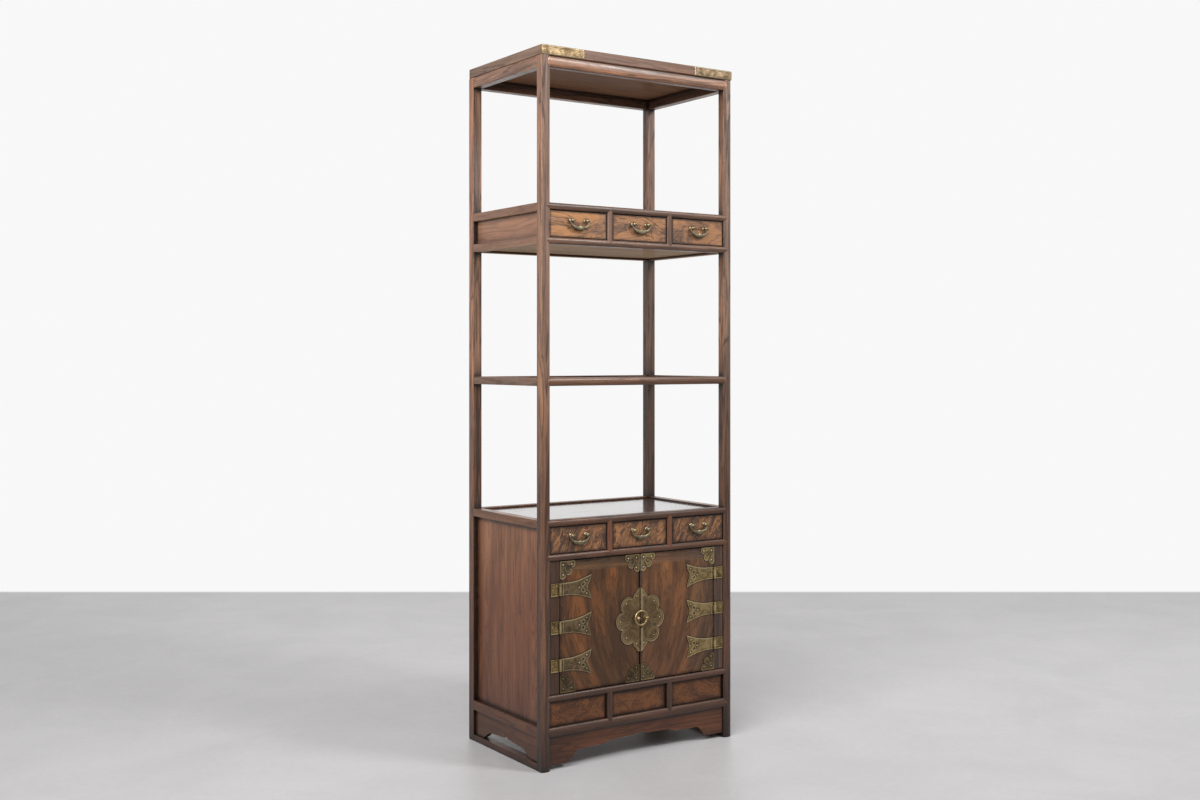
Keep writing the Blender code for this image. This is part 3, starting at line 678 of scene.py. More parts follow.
    def with_ends(
        self, bench: NodeBench, effects: Effects, place: Socket, colour: Socket, height: Socket,
    ) -> tuple[Socket, Socket]:
        """Grain along the two ends of a board, which are framed, greyer and show no end grain.

        Args:
            bench, effects, place: as for the plain grain.
            colour, height: the board's own.

        Returns:
            Colour and height with the ends' grain laid in.
        """
        end_colour, end_height = self.plain(bench, effects, place, Grain.ALONG_Y)
        end = bench.reckon("GREATER_THAN", bench.reckon("ABSOLUTE", bench.facing()[0]), 0.7)
        greyer = bench.mix(end_colour, END_SHADE, 1.0, "MULTIPLY")
        return bench.mix(colour, greyer, end), bench.between(height, end_height, end)

    def burled(
        self, bench: NodeBench, effects: Effects, place: Socket, height: Socket,
    ) -> tuple[Socket, Socket]:
        """Burl in place of the straight grain, leaned over and stretched.

        Args:
            bench, effects, place: as for the plain grain.
            height: relief of the straight grain, kept faintly.

        Returns:
            Colour and height sockets.
        """
        leaned = bench.mapped(place, (1.0, 1.0, 1.0), (0.0, math.radians(self.lean), 0.0))
        inputs = {"Vector": bench.mapped(leaned, self.stretch), "Scale": self.scale}
        given = bench.group(effects.burl, inputs)
        tone = bench.plus(given["Cloud"], bench.times(bench.minus(given["Curl"], 0.5), self.curl))
        tone = bench.plus(tone, bench.times(bench.minus(height, 0.4), 0.1))
        colour = bench.graded(tone, ((0.3, self.dark), (0.47, self.middle), (0.66, self.light)))
        marks = bench.larger(bench.times(given["Vein"], self.line_depth), bench.times(given["Eye"], 0.4))
        colour = bench.mix(colour, shaded(self.dark, 0.4), marks)
        return colour, bench.minus(given["Curl"], marks)

    def flamed(
        self, bench: NodeBench, effects: Effects, place: Socket, colour: Socket, height: Socket,
    ) -> tuple[Socket, Socket]:
        """Flame figure over the straight grain, with a dusty cross-grained head and a duller hinge side.

        Args:
            bench, effects, place: as for the plain grain.
            colour, height: the straight grain's own.

        Returns:
            Colour and height sockets.
        """
        given = bench.group(effects.flame, {"Vector": place, "Scale": self.scale})
        tone = bench.plus(given["Flame"], bench.times(bench.minus(given["Fibre"], 0.5), 0.25))
        flame = bench.graded(tone, ((0.36, self.dark), (0.5, self.middle), (0.64, self.light)))
        flame = bench.mix(flame, shaded(self.dark, 0.35), bench.times(given["Line"], self.line_depth))
        flame = bench.mix(flame, colour, 0.25)
        across, _, up = bench.parts(place)
        if self.band is not None:
            head, _ = self.plain(bench, effects, place, Grain.ALONG_X)
            dull = bench.mix(head, self.dusty, 1.0, "MULTIPLY")
            flame = bench.mix(flame, dull, bench.span(up, self.band - 4 * MM, self.band + 4 * MM, 0.0, 0.85))
        if self.hinged is not None:
            outward = bench.reckon("ABSOLUTE", across)
            flame = bench.mix(flame, self.hinged, bench.span(outward, 0.12, 0.18), "MULTIPLY")
        return flame, bench.plus(bench.times(height, 0.4), bench.times(given["Fibre"], 0.6))

    def aged(
        self, bench: NodeBench, effects: Effects, place: Socket, colour: Socket, height: Socket,
    ) -> Socket:
        """Colour after long use: dark borders and a painted gap shadow, worn edges, sun bleaching with
        painted light from above, darkening towards the floor, soiling and painted shade in joints and
        corners, and bare wood.

        Args:
            bench, effects, place: as for the plain grain.
            colour: the wood's own.
            height: relief of the straight grain, which streaks the bare wood.

        Returns:
            The colour's socket.
        """
        if self.border is not None:
            polish = self.border.mask(bench, effects, place, self.border.reach, self.border.uneven)
            colour = bench.mix(colour, OLD_POLISH, bench.times(polish, 0.8), "MULTIPLY")
            # Painted gap shadow: a near-black line along the panel's edges where the gap's shade falls,
            # partly the dark joint itself.
            joint = self.border.mask(bench, effects, place, self.border.joint, 0.2)
            colour = bench.mix(colour, GAP_SHADOW, bench.span(joint, 0.25, 0.6))
        wear = bench.group(effects.wear, {"Vector": place})["Wear"]
        colour = bench.mix(colour, self.worn, bench.times(wear, self.wear))
        # Painted light from above, partly sun bleaching: the colour grows lighter with height.
        if self.fade is not None:
            colour = self.sunned(bench, effects, place, colour)
        # Darker towards the floor.
        if self.soil:
            soil = bench.group(effects.soil, {"Vector": place})["Soil"]
            colour = bench.mix(colour, FLOOR_DARK_TONE, bench.times(soil, self.soil), "MULTIPLY")
        # Painted shade in joints and recesses, with some soiling: darkest where little open space is near.
        dirt = bench.group(effects.crevice, {"Vector": place, "Reach": self.dirt_reach})["Dirt"]
        colour = bench.mix(colour, JOINT_SOILING_AND_SHADE, bench.times(dirt, self.dirt))
        # Painted shade in corners and bays, over a wider reach.
        if self.gloom:
            gloom = bench.group(effects.crevice, {"Vector": place, "Reach": self.gloom})["Dirt"]
            colour = bench.mix(colour, CORNER_SHADE, bench.times(gloom, 0.8), "MULTIPLY")
        return self.bared(bench, place, colour, height)

    def sunned(self, bench: NodeBench, effects: Effects, place: Socket, colour: Socket) -> Socket:
        """Colour bleached by daylight and lit by painted light from above with height, with a painted sheen
        on the front in a tone of its own where one is given.

        Args:
            bench, effects, place: as for the plain grain.
            colour: the wood's colour so far.

        Returns:
            The colour's socket.
        """
        low, high = self.fade
        fade = bench.group(effects.fade, {"Vector": place, "Low": low, "High": high})["Fade"]
        faded = self.faded
        if self.faded_front is not None:
            # Painted sheen: faces that look to the front take a greyer, bluer multiplier.
            faded = bench.mix(faded, self.faded_front, bench.span(bench.facing()[1], -0.5, -0.85))
        return bench.mix(colour, faded, fade, "MULTIPLY")

    def bared(self, bench: NodeBench, place: Socket, colour: Socket, height: Socket) -> Socket:
        """Colour with dry wood on the undersides and bare wood inside, where the finish has them.

        Args:
            bench, place: as for the plain grain.
            colour: the wood's colour so far.
            height: relief of the straight grain, which streaks the bare wood.

        Returns:
            The colour's socket.
        """
        if self.raw_below is not None:
            streaked = bench.span(height, 0.2, 0.6, 0.7, 0.0)
            dry = bench.mix(self.raw_below, shaded(self.raw_below, 0.6), streaked)
            colour = bench.mix(colour, dry, self.underneath(bench))
        if self.inside is not None:
            deep = bench.parts(place)[1]
            pale = bench.mix(*BARE_WOOD, bench.span(height, -0.4, 0.8))
            colour = bench.mix(colour, pale, bench.span(deep, self.inside - 0.4 * MM, self.inside + 0.4 * MM))
        return colour


@dataclass(frozen=True)
class BrassFinish:
    """Aged brass, from its tarnish to its rubbed edges."""

    name: str
    tarnish: Colour
    middle: Colour
    bright: Colour
    scale: float = 60.0
    roughness: float = 0.42
    rubbed: float = 0.8
    cut_depth: float = 0.85
    mottle: float = 0.6
    spots: float = 0.3

    def build(self, effects: Effects) -> Material:
        """Makes the material, which reads how far each point is cut in or raised.

        Args:
            effects: the shared node groups.

        Returns:
            The material.
        """
        material = bpy.data.materials.new(self.name)
        material.use_nodes = True
        bench = NodeBench(material.node_tree)
        shader = material.node_tree.nodes["Principled BSDF"]
        place = bench.object_place()
        given = bench.group(effects.patina, {"Vector": place, "Scale": self.scale})
        cut = bench.add("ShaderNodeAttribute", attribute_name="cut").outputs["Fac"]
        raised = bench.add("ShaderNodeAttribute", attribute_name="raised").outputs["Fac"]
        wear = bench.group(effects.wear, {"Vector": place, "Radius": 0.8 * MM})["Wear"]
        tone = bench.plus(given["Tarnish"], bench.times(bench.minus(given["Rub"], 0.5), 0.5))
        tone = bench.plus(bench.times(bench.minus(tone, 0.5), self.mottle), 0.5)
        colour = bench.graded(tone, ((0.1, self.tarnish), (0.75, self.middle)))
        colour = bench.mix(colour, self.tarnish, bench.times(given["Spot"], self.spots))
        rim = bench.times(bench.larger(raised, wear), self.rubbed)
        colour = bench.mix(colour, self.bright, rim)
        colour = bench.mix(colour, shaded(self.tarnish, 0.25), bench.times(cut, self.cut_depth))
        rough = bench.plus(bench.times(bench.minus(1.0, given["Tarnish"]), 0.22), self.roughness)
        rough = bench.plus(rough, bench.times(cut, 0.2))
        rough = bench.minus(rough, bench.times(rim, 0.14), clamp=True)
        dulled = bench.larger(cut, bench.times(given["Spot"], 0.5))
        bumps = {"Height": given["Rub"], "Strength": 0.2, "Distance": 0.4 * MM}
        bench.feed(shader.inputs["Base Color"], colour)
        bench.feed(shader.inputs["Roughness"], rough)
        bench.feed(shader.inputs["Metallic"], bench.minus(1.0, bench.times(dulled, 0.5)))
        bench.feed(shader.inputs["Normal"], bench.add("ShaderNodeBump", bumps).outputs[0])
        return material


DRAWER_PITCH = middle_of("upper_drawer_right", 0) - middle_of("upper_drawer_middle", 0)
DRAWER_INSIDE = -143.5 * MM
# The frame woods grow lighter with height: painted light from above, partly sun bleaching.
FRAME_WOOD = WoodFinish(
    "frame_wood", srgb(44, 29, 21), srgb(82, 55, 40), srgb(116, 78, 54), streaks=150.0, spread=0.17,
    line_depth=0.65, roughness=0.42, coat=0.12, coat_roughness=0.14, shine=0.38, worn=srgb(186, 116, 68),
    dirt=0.95, dirt_reach=16 * MM, soil=0.85, gloom=80 * MM, fade=(0.5, 1.2), faded=(2.58, 2.8, 2.95, 1.0),
)
# The posts' front faces take a greyer, bluer tone: a painted sheen.
POST_WOOD = replace(FRAME_WOOD, name="post_wood", faded_front=(2.15, 2.75, 3.4, 1.0))
PALER_POSTS = {
    "post_back_left": replace(POST_WOOD, name="back_left_post_wood", faded=(3.55, 3.35, 3.15, 1.0)),
    "post_front_right": replace(
        POST_WOOD, name="front_right_post_wood", dark=srgb(50, 32, 22), middle=srgb(92, 60, 42),
        light=srgb(130, 85, 56), faded=(1.98, 2.33, 2.68, 1.0), faded_front=(1.6, 2.22, 3.0, 1.0),
    ),
}
# The rail wood grows lighter with height too: painted light from above, partly sun bleaching.
RAIL_WOOD = WoodFinish(
    "rail_wood", srgb(43, 28, 19), srgb(75, 48, 33), srgb(104, 67, 44), streaks=150.0, spread=0.21,
    roughness=0.44, coat=0.1, coat_roughness=0.2, shine=0.35, worn=srgb(176, 112, 68), dirt_reach=10 * MM,
    soil=0.42, fade=(0.5, 1.2), faded=(1.8, 2.15, 2.5, 1.0),
)
UPRIGHT_WOOD = replace(RAIL_WOOD, name="upright_wood", dark=srgb(55, 38, 29), light=srgb(86, 58, 43))
LOWER_UPRIGHT_WOOD = replace(
    RAIL_WOOD, name="lower_upright_wood", dark=srgb(73, 46, 31), middle=srgb(98, 60, 39),
    light=srgb(120, 74, 48),
)
BASE_UPRIGHT_WOOD = replace(
    RAIL_WOOD, name="base_upright_wood", dark=srgb(48, 33, 25), middle=srgb(65, 42, 29),
    light=srgb(76, 51, 38),
)
TOP_WOOD = WoodFinish(
    "top_wood", srgb(76, 52, 40), srgb(117, 85, 67), srgb(144, 110, 87), streaks=110.0, spread=0.2,
    roughness=0.42, raw_below=srgb(138, 102, 76), shine=0.2, framed=True,
)
# The side wood grows lighter above its lowest part: painted light from above, partly sun bleaching.
SIDE_WOOD = WoodFinish(
    "side_wood", srgb(80, 47, 31), srgb(108, 66, 44), srgb(134, 85, 57), streaks=110.0, spread=0.2,
    lines=70.0, line_depth=0.42, roughness=0.36, coat=0.1, rails=(97 * MM, 541 * MM), dirt=0.95,
    dirt_reach=14 * MM, soil=0.55, fade=(0.3, 0.55), faded=(1.35, 1.6, 1.75, 1.0),
)
UPPER_SIDE_WOOD = WoodFinish(
    "upper_side_wood", srgb(96, 66, 50), srgb(134, 96, 74), srgb(156, 115, 89), streaks=80.0, line_depth=0.3,
    raw_below=srgb(180, 152, 122), rails=(1195 * MM, 1251 * MM),
)
CASE_WOOD = WoodFinish(
    "case_wood", srgb(74, 44, 30), srgb(114, 72, 50), srgb(142, 94, 66), streaks=90.0,
    raw_below=srgb(190, 162, 130), shine=0.2,
)
DARK_WOOD = WoodFinish(
    "dark_wood", srgb(47, 31, 21), srgb(78, 52, 36), srgb(106, 71, 49), streaks=140.0, wear=0.2,
)
# The right-hand stile is a lighter copy: painted light, for the stronger light on the right of the front.
STILE_WOODS = {
    Side.LEFT: DARK_WOOD,
    Side.RIGHT: replace(DARK_WOOD, name="right_stile_wood", middle=srgb(79, 60, 50), light=srgb(106, 81, 66)),
}
GLOSSY_WOOD = WoodFinish(
    "glossy_top_wood", srgb(40, 24, 18), srgb(66, 40, 28), srgb(92, 56, 38), streaks=60.0, roughness=0.12,
    coat=0.9, wear=0.2, relief=0.004, shine=0.5,
)
UPPER_DRAWER_WOOD = WoodFinish(
    "upper_drawer_wood", srgb(96, 71, 56), srgb(143, 103, 73), srgb(170, 120, 77), figure=Figure.BURL,
    scale=15.0, stretch=(0.5, 1.0, 1.3), curl=0.1, line_depth=0.75, inside=DRAWER_INSIDE,
    border=Border(
        offset=0.0, pitch=DRAWER_PITCH, half_width=77.2 * MM, height=middle_of("upper_drawer_middle", 2),
        half_height=30.5 * MM, reach=7.5 * MM, uneven=0.5,
    ),
)
LOWER_DRAWER_WOOD = WoodFinish(
    "lower_drawer_wood", srgb(71, 52, 42), srgb(103, 73, 54), srgb(146, 102, 66), figure=Figure.BURL,
    scale=34.0, stretch=(0.32, 1.0, 1.25), lean=60.0, curl=0.3, inside=DRAWER_INSIDE,
    border=Border(
        offset=0.0, pitch=DRAWER_PITCH, half_width=77.2 * MM, height=middle_of("lower_drawer_middle", 2),
        half_height=30.5 * MM, reach=12 * MM,
    ),
)
DOOR_WOOD = WoodFinish(
    "door_wood", srgb(51, 34, 24), srgb(77, 52, 34), srgb(119, 75, 43), figure=Figure.FLAME, scale=26.0,
    line_depth=0.42, shine=0.2, band=440 * MM, wear=0.2, dusty=(1.0, 1.3, 1.6, 1.0),
    border=Border(
        offset=middle_of("door_right", 0), pitch=2 * middle_of("door_right", 0), half_width=109.9 * MM,
        height=middle_of("door_right", 2), half_height=148.4 * MM, reach=10 * MM, joint=2.2 * MM,
    ),
)
# The right-hand door is a lighter copy: painted light, for the stronger light on the right of the front.
DOOR_WOODS = {
    Side.LEFT: DOOR_WOOD,
    Side.RIGHT: replace(
        DOOR_WOOD, name="right_door_wood", dark=srgb(64, 44, 31), middle=srgb(96, 65, 44),
        light=srgb(135, 89, 55), dusty=(1.35, 1.55, 1.85, 1.0), hinged=(0.6, 0.74, 0.95, 1.0),
    ),
}
BASE_WOOD = WoodFinish(
    "base_panel_wood", srgb(64, 41, 28), srgb(84, 53, 34), srgb(104, 66, 41), figure=Figure.BURL, scale=24.0,
    shine=0.2, line_depth=0.25,
    border=Border(
        offset=0.0, pitch=DRAWER_PITCH, half_width=77.7 * MM, height=124 * MM, half_height=29 * MM,
        reach=13 * MM,
    ),
)
APRON_WOOD = WoodFinish(
    "apron_wood", srgb(42, 25, 17), srgb(78, 46, 31), srgb(116, 70, 45), streaks=100.0, spread=0.16,
    dirt_reach=12 * MM, soil=0.5,
)
PLATE_BRASS = BrassFinish(
    "aged_brass", srgb(71, 59, 43), srgb(116, 98, 74), srgb(204, 186, 146), rubbed=0.85, mottle=0.8,
)
# The right-hand plates are a lighter copy: painted light, for the stronger light on the right of the front.
PLATE_BRASSES = {
    Side.LEFT: PLATE_BRASS,
    Side.RIGHT: replace(
        PLATE_BRASS, name="right_aged_brass", tarnish=srgb(90, 76, 52), middle=srgb(147, 127, 89),
    ),
}
# The lower plates' right-hand copy is lighter: painted light, for the stronger light on the right of the
# front.
DULL_BRASSES = {
    Side.LEFT: replace(
        PLATE_BRASS, name="dull_left_brass", tarnish=srgb(60, 47, 34), middle=srgb(94, 78, 57),
        bright=srgb(160, 142, 104), rubbed=0.5,
    ),
    Side.RIGHT: replace(
        PLATE_BRASS, name="dull_right_brass", tarnish=srgb(70, 57, 40), middle=srgb(114, 96, 68),
        bright=srgb(170, 152, 110), rubbed=0.5,
    ),
}
LEAF_BRASS = BrassFinish(
    "leaf_brass", srgb(80, 65, 43), srgb(133, 112, 73), srgb(196, 177, 126), rubbed=0.6, mottle=1.1,
)
FLOWER_BRASS = BrassFinish(
    "flower_brass", srgb(80, 65, 46), srgb(124, 104, 75), srgb(190, 170, 130), scale=45.0, cut_depth=0.75,
)
HANDLE_BRASS = BrassFinish(
    "handle_brass", srgb(72, 64, 50), srgb(122, 112, 90), srgb(192, 178, 146), roughness=0.4,
)
POST_BRASS = BrassFinish(
    "post_brass", srgb(56, 45, 33), srgb(94, 79, 57), srgb(186, 168, 134), roughness=0.28,
)
MOUNT_BRASS = BrassFinish(
    "mount_brass", srgb(92, 72, 50), srgb(146, 126, 96), srgb(196, 178, 142), roughness=0.42, cut_depth=0.4,
    mottle=0.7,
)
MOUNT_BRASSES = {
    Side.LEFT: MOUNT_BRASS,
    Side.RIGHT: replace(
        MOUNT_BRASS, name="right_mount_brass", tarnish=srgb(80, 63, 46), middle=srgb(127, 110, 87),
        bright=srgb(172, 157, 129),
    ),
}
RING_BRASS = BrassFinish(
    "ring_brass", srgb(70, 53, 35), srgb(114, 92, 64), srgb(192, 168, 128), roughness=0.32,
)


class Finishes:
    """Materials of the stand, each made once."""

    def __init__(self, effects: Effects) -> None:
        """Keeps the shared groups and starts with no material."""
        self.effects = effects
        self.made: dict[tuple[Any, ...], Material] = {}

    def material(self, finish: WoodFinish | BrassFinish, *grain: Grain) -> Material:
        """The finish's material, for one direction of grain where it is a wood.

        Args:
            finish: the wood or the brass.
            grain: direction of a wood's grain.

        Returns:
            The material.
        """
        key = (finish.name, *grain)
        if key not in self.made:
            self.made[key] = finish.build(self.effects, *grain)
        return self.made[key]


# Surfaces


@dataclass
class Surface:
    """Grid of points over two parameters, with what closes it and the marks that it carries."""

    points: Array
    round_rows: bool = False
    round_columns: bool = False
    capped: bool = False
    marks: dict[str, Array] = field(default_factory=dict)
    slot: int = 0

    def quads(self) -> Array:
        """Four corners of each cell; a round direction joins its last line to its first.

        Returns:
            Point numbers, four to a row.
        """
        rows, columns = self.points.shape[:2]
        index = np.arange(rows * columns).reshape(rows, columns)
        if self.round_rows:
            index = np.vstack((index, index[:1]))
        if self.round_columns:
            index = np.hstack((index, index[:, :1]))
        cells = (index[:-1, :-1], index[1:, :-1], index[1:, 1:], index[:-1, 1:])
        return np.stack(cells, axis=-1).reshape(-1, 4)

    def caps(self) -> list[list[int]]:
        """The first and last rows as faces, where the surface is capped.

        Returns:
            Point numbers of each cap.
        """
        rows, columns = self.points.shape[:2]
        first = np.arange(columns)
        return [first[::-1].tolist(), (first + (rows - 1) * columns).tolist()] if self.capped else []


def grid(across: Any, deep: Any, up: Any) -> Array:
    """Points from their three parts, each a grid or one number."""
    return np.stack(np.broadcast_arrays(across, deep, up), axis=-1)


def slab(top: Array, bottom: Array, **marks: Array) -> Surface:
    """Closed plate: each row goes out along the top and back along the bottom, and the end rows are capped.

    Args:
        top, bottom: grids of points for the two faces.
        marks: values on the top; the bottom takes none.

    Returns:
        The plate's surface.
    """
    points = np.concatenate((top, bottom[:, ::-1]), axis=1)
    whole = {name: np.concatenate((value, np.zeros_like(value)), axis=1) for name, value in marks.items()}
    return Surface(points, round_columns=True, capped=True, marks=whole)


def lathe(profile: Array, centre: Point, axis: int, count: int = 24, **marks: float) -> Surface:
    """Turned shape: each (radius, along) pair of the profile goes once round the axis.

    Args:
        profile: radius and distance along the axis, row by row.
        centre: where the axis starts.
        axis: 0, 1 or 2 for X, Y or Z.
        count: points round the axis.
        marks: one value each for the whole shape.

    Returns:
        The closed surface.
    """
    angle = np.linspace(0, 2 * np.pi, count, endpoint=False)
    points = np.empty((len(profile), count, 3))
    points[..., axis] = profile[:, 1:2]
    points[..., (axis + 1) % 3] = profile[:, :1] * np.cos(angle)
    points[..., (axis + 2) % 3] = profile[:, :1] * np.sin(angle)
    values = {name: np.full(points.shape[:2], value) for name, value in marks.items()}
    return Surface(points + np.array(centre), round_columns=True, capped=True, marks=values)


def ball_profile(radius: float, middle: float, neck: float, steps: int = 12) -> Array:
    """Radius and distance pairs of a ball on a neck: a part circle from the neck to the far pole."""
    angle = np.linspace(math.asin(min(neck / radius, 1.0)), np.pi - 0.12, steps)
    return np.column_stack((radius * np.sin(angle), middle + radius * np.cos(angle)))


def domes(centres: Array, radius: float, height: float) -> list[Surface]:
    """Nail heads, each a low dome: its height falls as the square root of one less the radius share squared.

    Args:
        centres: points on the plates, row by row.
        radius, height: size of a head.

    Returns:
        One closed surface for each.
    """
    share = np.array((1.0, 0.92, 0.62, 0.22))
    profile = np.column_stack((radius * share, -height * np.sqrt(1 - share**2)))
    return [lathe(profile, tuple(centre), 1, 10, raised=0.55) for centre in centres]


def sweep(section: Array, start: Point, end: Point, slot: int = 0) -> Surface:
    """Straight member: each point of a closed section is its offset plus the first or the second place."""
    places = np.array((start, end))
    return Surface(section[None, :, :] + places[:, None, :], round_columns=True, capped=True, slot=slot)


class Bench:
    """Turns surfaces into pieces of the stand, and dresses its solids.

    Attributes:
        sharp_turn: turn in radians past which the edge of a solid stays sharp.
    """

    sharp_turn: float = 0.62

    def __init__(self, finishes: Finishes) -> None:
        """Keeps the finishes and makes the tree that shades round solids softly."""
        self.finishes = finishes
        self.softening = self.soft_shading()

    def soft_shading(self) -> Tree:
        """Geometry nodes that join a solid's triangles and keep only its sharp edges sharp.

        Returns:
            Their tree.
        """
        tree = bpy.data.node_groups.new("soft_shading", "GeometryNodeTree")
        tree.interface.new_socket("Geometry", in_out="INPUT", socket_type="NodeSocketGeometry")
        tree.interface.new_socket("Geometry", in_out="OUTPUT", socket_type="NodeSocketGeometry")
        bench = NodeBench(tree)
        entry = bench.add("NodeGroupInput")
        merged = bench.add("GeometryNodeMergeByDistance", {"Geometry": entry.outputs[0], "Distance": 1e-6})
        inputs = {"Geometry": merged.outputs[0], "Shade Smooth": True}
        smooth = bench.add("GeometryNodeSetShadeSmooth", inputs, domain="FACE")
        angle = bench.add("GeometryNodeInputMeshEdgeAngle").outputs["Unsigned Angle"]
        inputs = {0: angle, 1: self.sharp_turn}
        sharp = bench.add("FunctionNodeCompare", inputs, data_type="FLOAT", operation="GREATER_THAN")
        inputs = {"Geometry": smooth.outputs[0], "Selection": sharp.outputs[0], "Shade Smooth": False}
        done = bench.add("GeometryNodeSetShadeSmooth", inputs, domain="EDGE")
        bench.feed(bench.add("NodeGroupOutput").inputs[0], done.outputs[0])
        return tree

    def dress(self, node: str, finish: WoodFinish, grain: Grain) -> None:
        """Gives one solid its wood and soft shading.

        Args:
            node: the solid's name.
            finish: the wood.
            grain: direction of its grain.
        """
        solid = frame["nodes"][node]
        solid.data.materials.clear()
        solid.data.materials.append(self.finishes.material(finish, grain))
        solid.modifiers.new("soft_shading", "NODES").node_group = self.softening
        LOG.info("dressed %s in %s", node, finish.name)

    def piece(
        self, name: str, surfaces: Sequence[Surface], materials: Sequence[Material],
        body: str, slot: str, replaces: Sequence[str] = (), angle: float = 40.0,
    ) -> bpy.types.Object:
        """Makes one piece from closed surfaces and lets it ride on a body.

        Args:
            name: the piece's name.
            surfaces: its surfaces.
            materials: its materials, by the surfaces' slots.
            body: the body it moves with.
            slot: the record's finish for it; not used.
            replaces: solids that it stands for.
            angle: edges sharper than this, in degrees, stay sharp.

        Returns:
            The piece.
        """
        mesh = self.joined(name, surfaces)
        for material in materials:
            mesh.materials.append(material)
        mesh.shade_smooth()
        mesh.set_sharp_from_angle(angle=math.radians(angle))
        thing = bpy.data.objects.new(name, mesh)
        bpy.context.scene.collection.objects.link(thing)
        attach(thing, body)
        if replaces:
            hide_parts(*replaces)
        LOG.info("made %s with %d faces on %s", name, len(mesh.polygons), body)
        return thing

    @staticmethod
    def joined(name: str, surfaces: Sequence[Surface]) -> bpy.types.Mesh:
        """Joins surfaces into one mesh, closes their poles and turns their faces out.

        Args:
            name: the mesh's name.
            surfaces: the surfaces.

        Returns:
            The mesh, with the surfaces' marks as attributes.
        """
        counts = [surface.points.shape[0] * surface.points.shape[1] for surface in surfaces]
        starts = np.concatenate(((0,), np.cumsum(counts)))
        points = np.concatenate([surface.points.reshape(-1, 3) for surface in surfaces])
        faces: list[list[int]] = []
        slots: list[int] = []
        for surface, start in zip(surfaces, starts):
            caps = [[start + place for place in cap] for cap in surface.caps()]
            here = (surface.quads() + start).tolist() + caps
            faces.extend(here)
            slots.extend([surface.slot] * len(here))
        mesh = bpy.data.meshes.new(name)
        mesh.from_pydata(points, [], faces)
        mesh.polygons.foreach_set("material_index", slots)
        for mark in ("cut", "raised"):
            bare = [np.zeros(surface.points.shape[:2]) for surface in surfaces]
            rows = [surface.marks.get(mark, none).ravel() for surface, none in zip(surfaces, bare)]
            attribute = mesh.attributes.new(mark, "FLOAT", "POINT")
            attribute.data.foreach_set("value", np.concatenate(rows).astype(np.float32))
        shape = bmesh.new()
        shape.from_mesh(mesh)
        bmesh.ops.remove_doubles(shape, verts=shape.verts, dist=1e-7)
        bmesh.ops.recalc_face_normals(shape, faces=shape.faces)
        shape.to_mesh(mesh)
        shape.free()
        return mesh


# Sub-assemblies


def ridge(distance: Array, width: float) -> Array:
    """Soft line on a surface: e to the power of minus the square of the distance over the width."""
    return np.exp(-((distance / width) ** 2))


def torus_angles(around: int, about: int) -> tuple[Array, Array]:
    """Angles round a ring and round its wire, as a grid of so many steps that joins up both ways."""
    turns = [np.linspace(0, 2 * np.pi, count, endpoint=False) for count in (around, about)]
    return tuple(np.meshgrid(*turns, indexing="ij"))


@dataclass(frozen=True)
class Planes:
    """Depths along Y that several sub-assemblies share, read from the solids."""

    crest: float = corners("lower_drawer_frame")[0, 1]
    behind: float = corners("lower_drawer_frame")[1, 1]
    face: float = corners("door_left")[0, 1]
    plate_back: float = corners("hinge_strap_left_top")[1, 1]
    plate: float = 1.2 * MM

    @property
    def plate_front(self) -> float:
        """Front of the brass plates on the doors."""
        return self.plate_back - self.plate


PLANES = Planes()


@dataclass
class Carcass:
    """Posts, boards, sides, backs and plain rails, which keep the shape of their solids."""

    bench: Bench
    upright: tuple[str, ...] = ("post_front_left", "post_front_right", "post_back_left", "post_back_right")
    cross: tuple[str, ...] = ("top_front_rail", "top_back_rail")
    deep: tuple[str, ...] = ("top_left_rail", "top_right_rail")
    feet: tuple[str, ...] = ("stretcher_left", "stretcher_right")

    def dress(self) -> None:
        """Gives every solid of the carcass its wood."""
        for node in self.upright:
            self.bench.dress(node, PALER_POSTS.get(node, POST_WOOD), Grain.ALONG_Z)
        for node in self.cross:
            self.bench.dress(node, FRAME_WOOD, Grain.ALONG_X)
        for node in self.deep:
            self.bench.dress(node, FRAME_WOOD, Grain.ALONG_Y)
        for node in self.feet:
            self.bench.dress(node, APRON_WOOD, Grain.ALONG_Y)
        self.bench.dress("shelf_front_rail", RAIL_WOOD, Grain.ALONG_X)
        self.bench.dress("top_board", TOP_WOOD, Grain.ALONG_X)
        self.bench.dress("shelf_board", TOP_WOOD, Grain.ALONG_X)
        for node in ("upper_left_side", "upper_right_side"):
            self.bench.dress(node, UPPER_SIDE_WOOD, Grain.ALONG_Y)
        for node in ("upper_back", "upper_case_top", "upper_case_floor", "drawer_board", "cupboard_floor"):
            self.bench.dress(node, CASE_WOOD, Grain.ALONG_X)
        self.bench.dress("lower_case_top", GLOSSY_WOOD, Grain.ALONG_X)
        for node in ("lower_left_side", "lower_right_side"):
            self.bench.dress(node, SIDE_WOOD, Grain.ALONG_Z)
        self.bench.dress("lower_back", CASE_WOOD, Grain.ALONG_Z)
        for side in Side:
            self.bench.dress("stile_" + side.label, STILE_WOODS[side], Grain.ALONG_Z)
        self.bench.dress("base_board", BASE_WOOD, Grain.ALONG_X)
        self.bench.dress("front_apron", APRON_WOOD, Grain.ALONG_X)


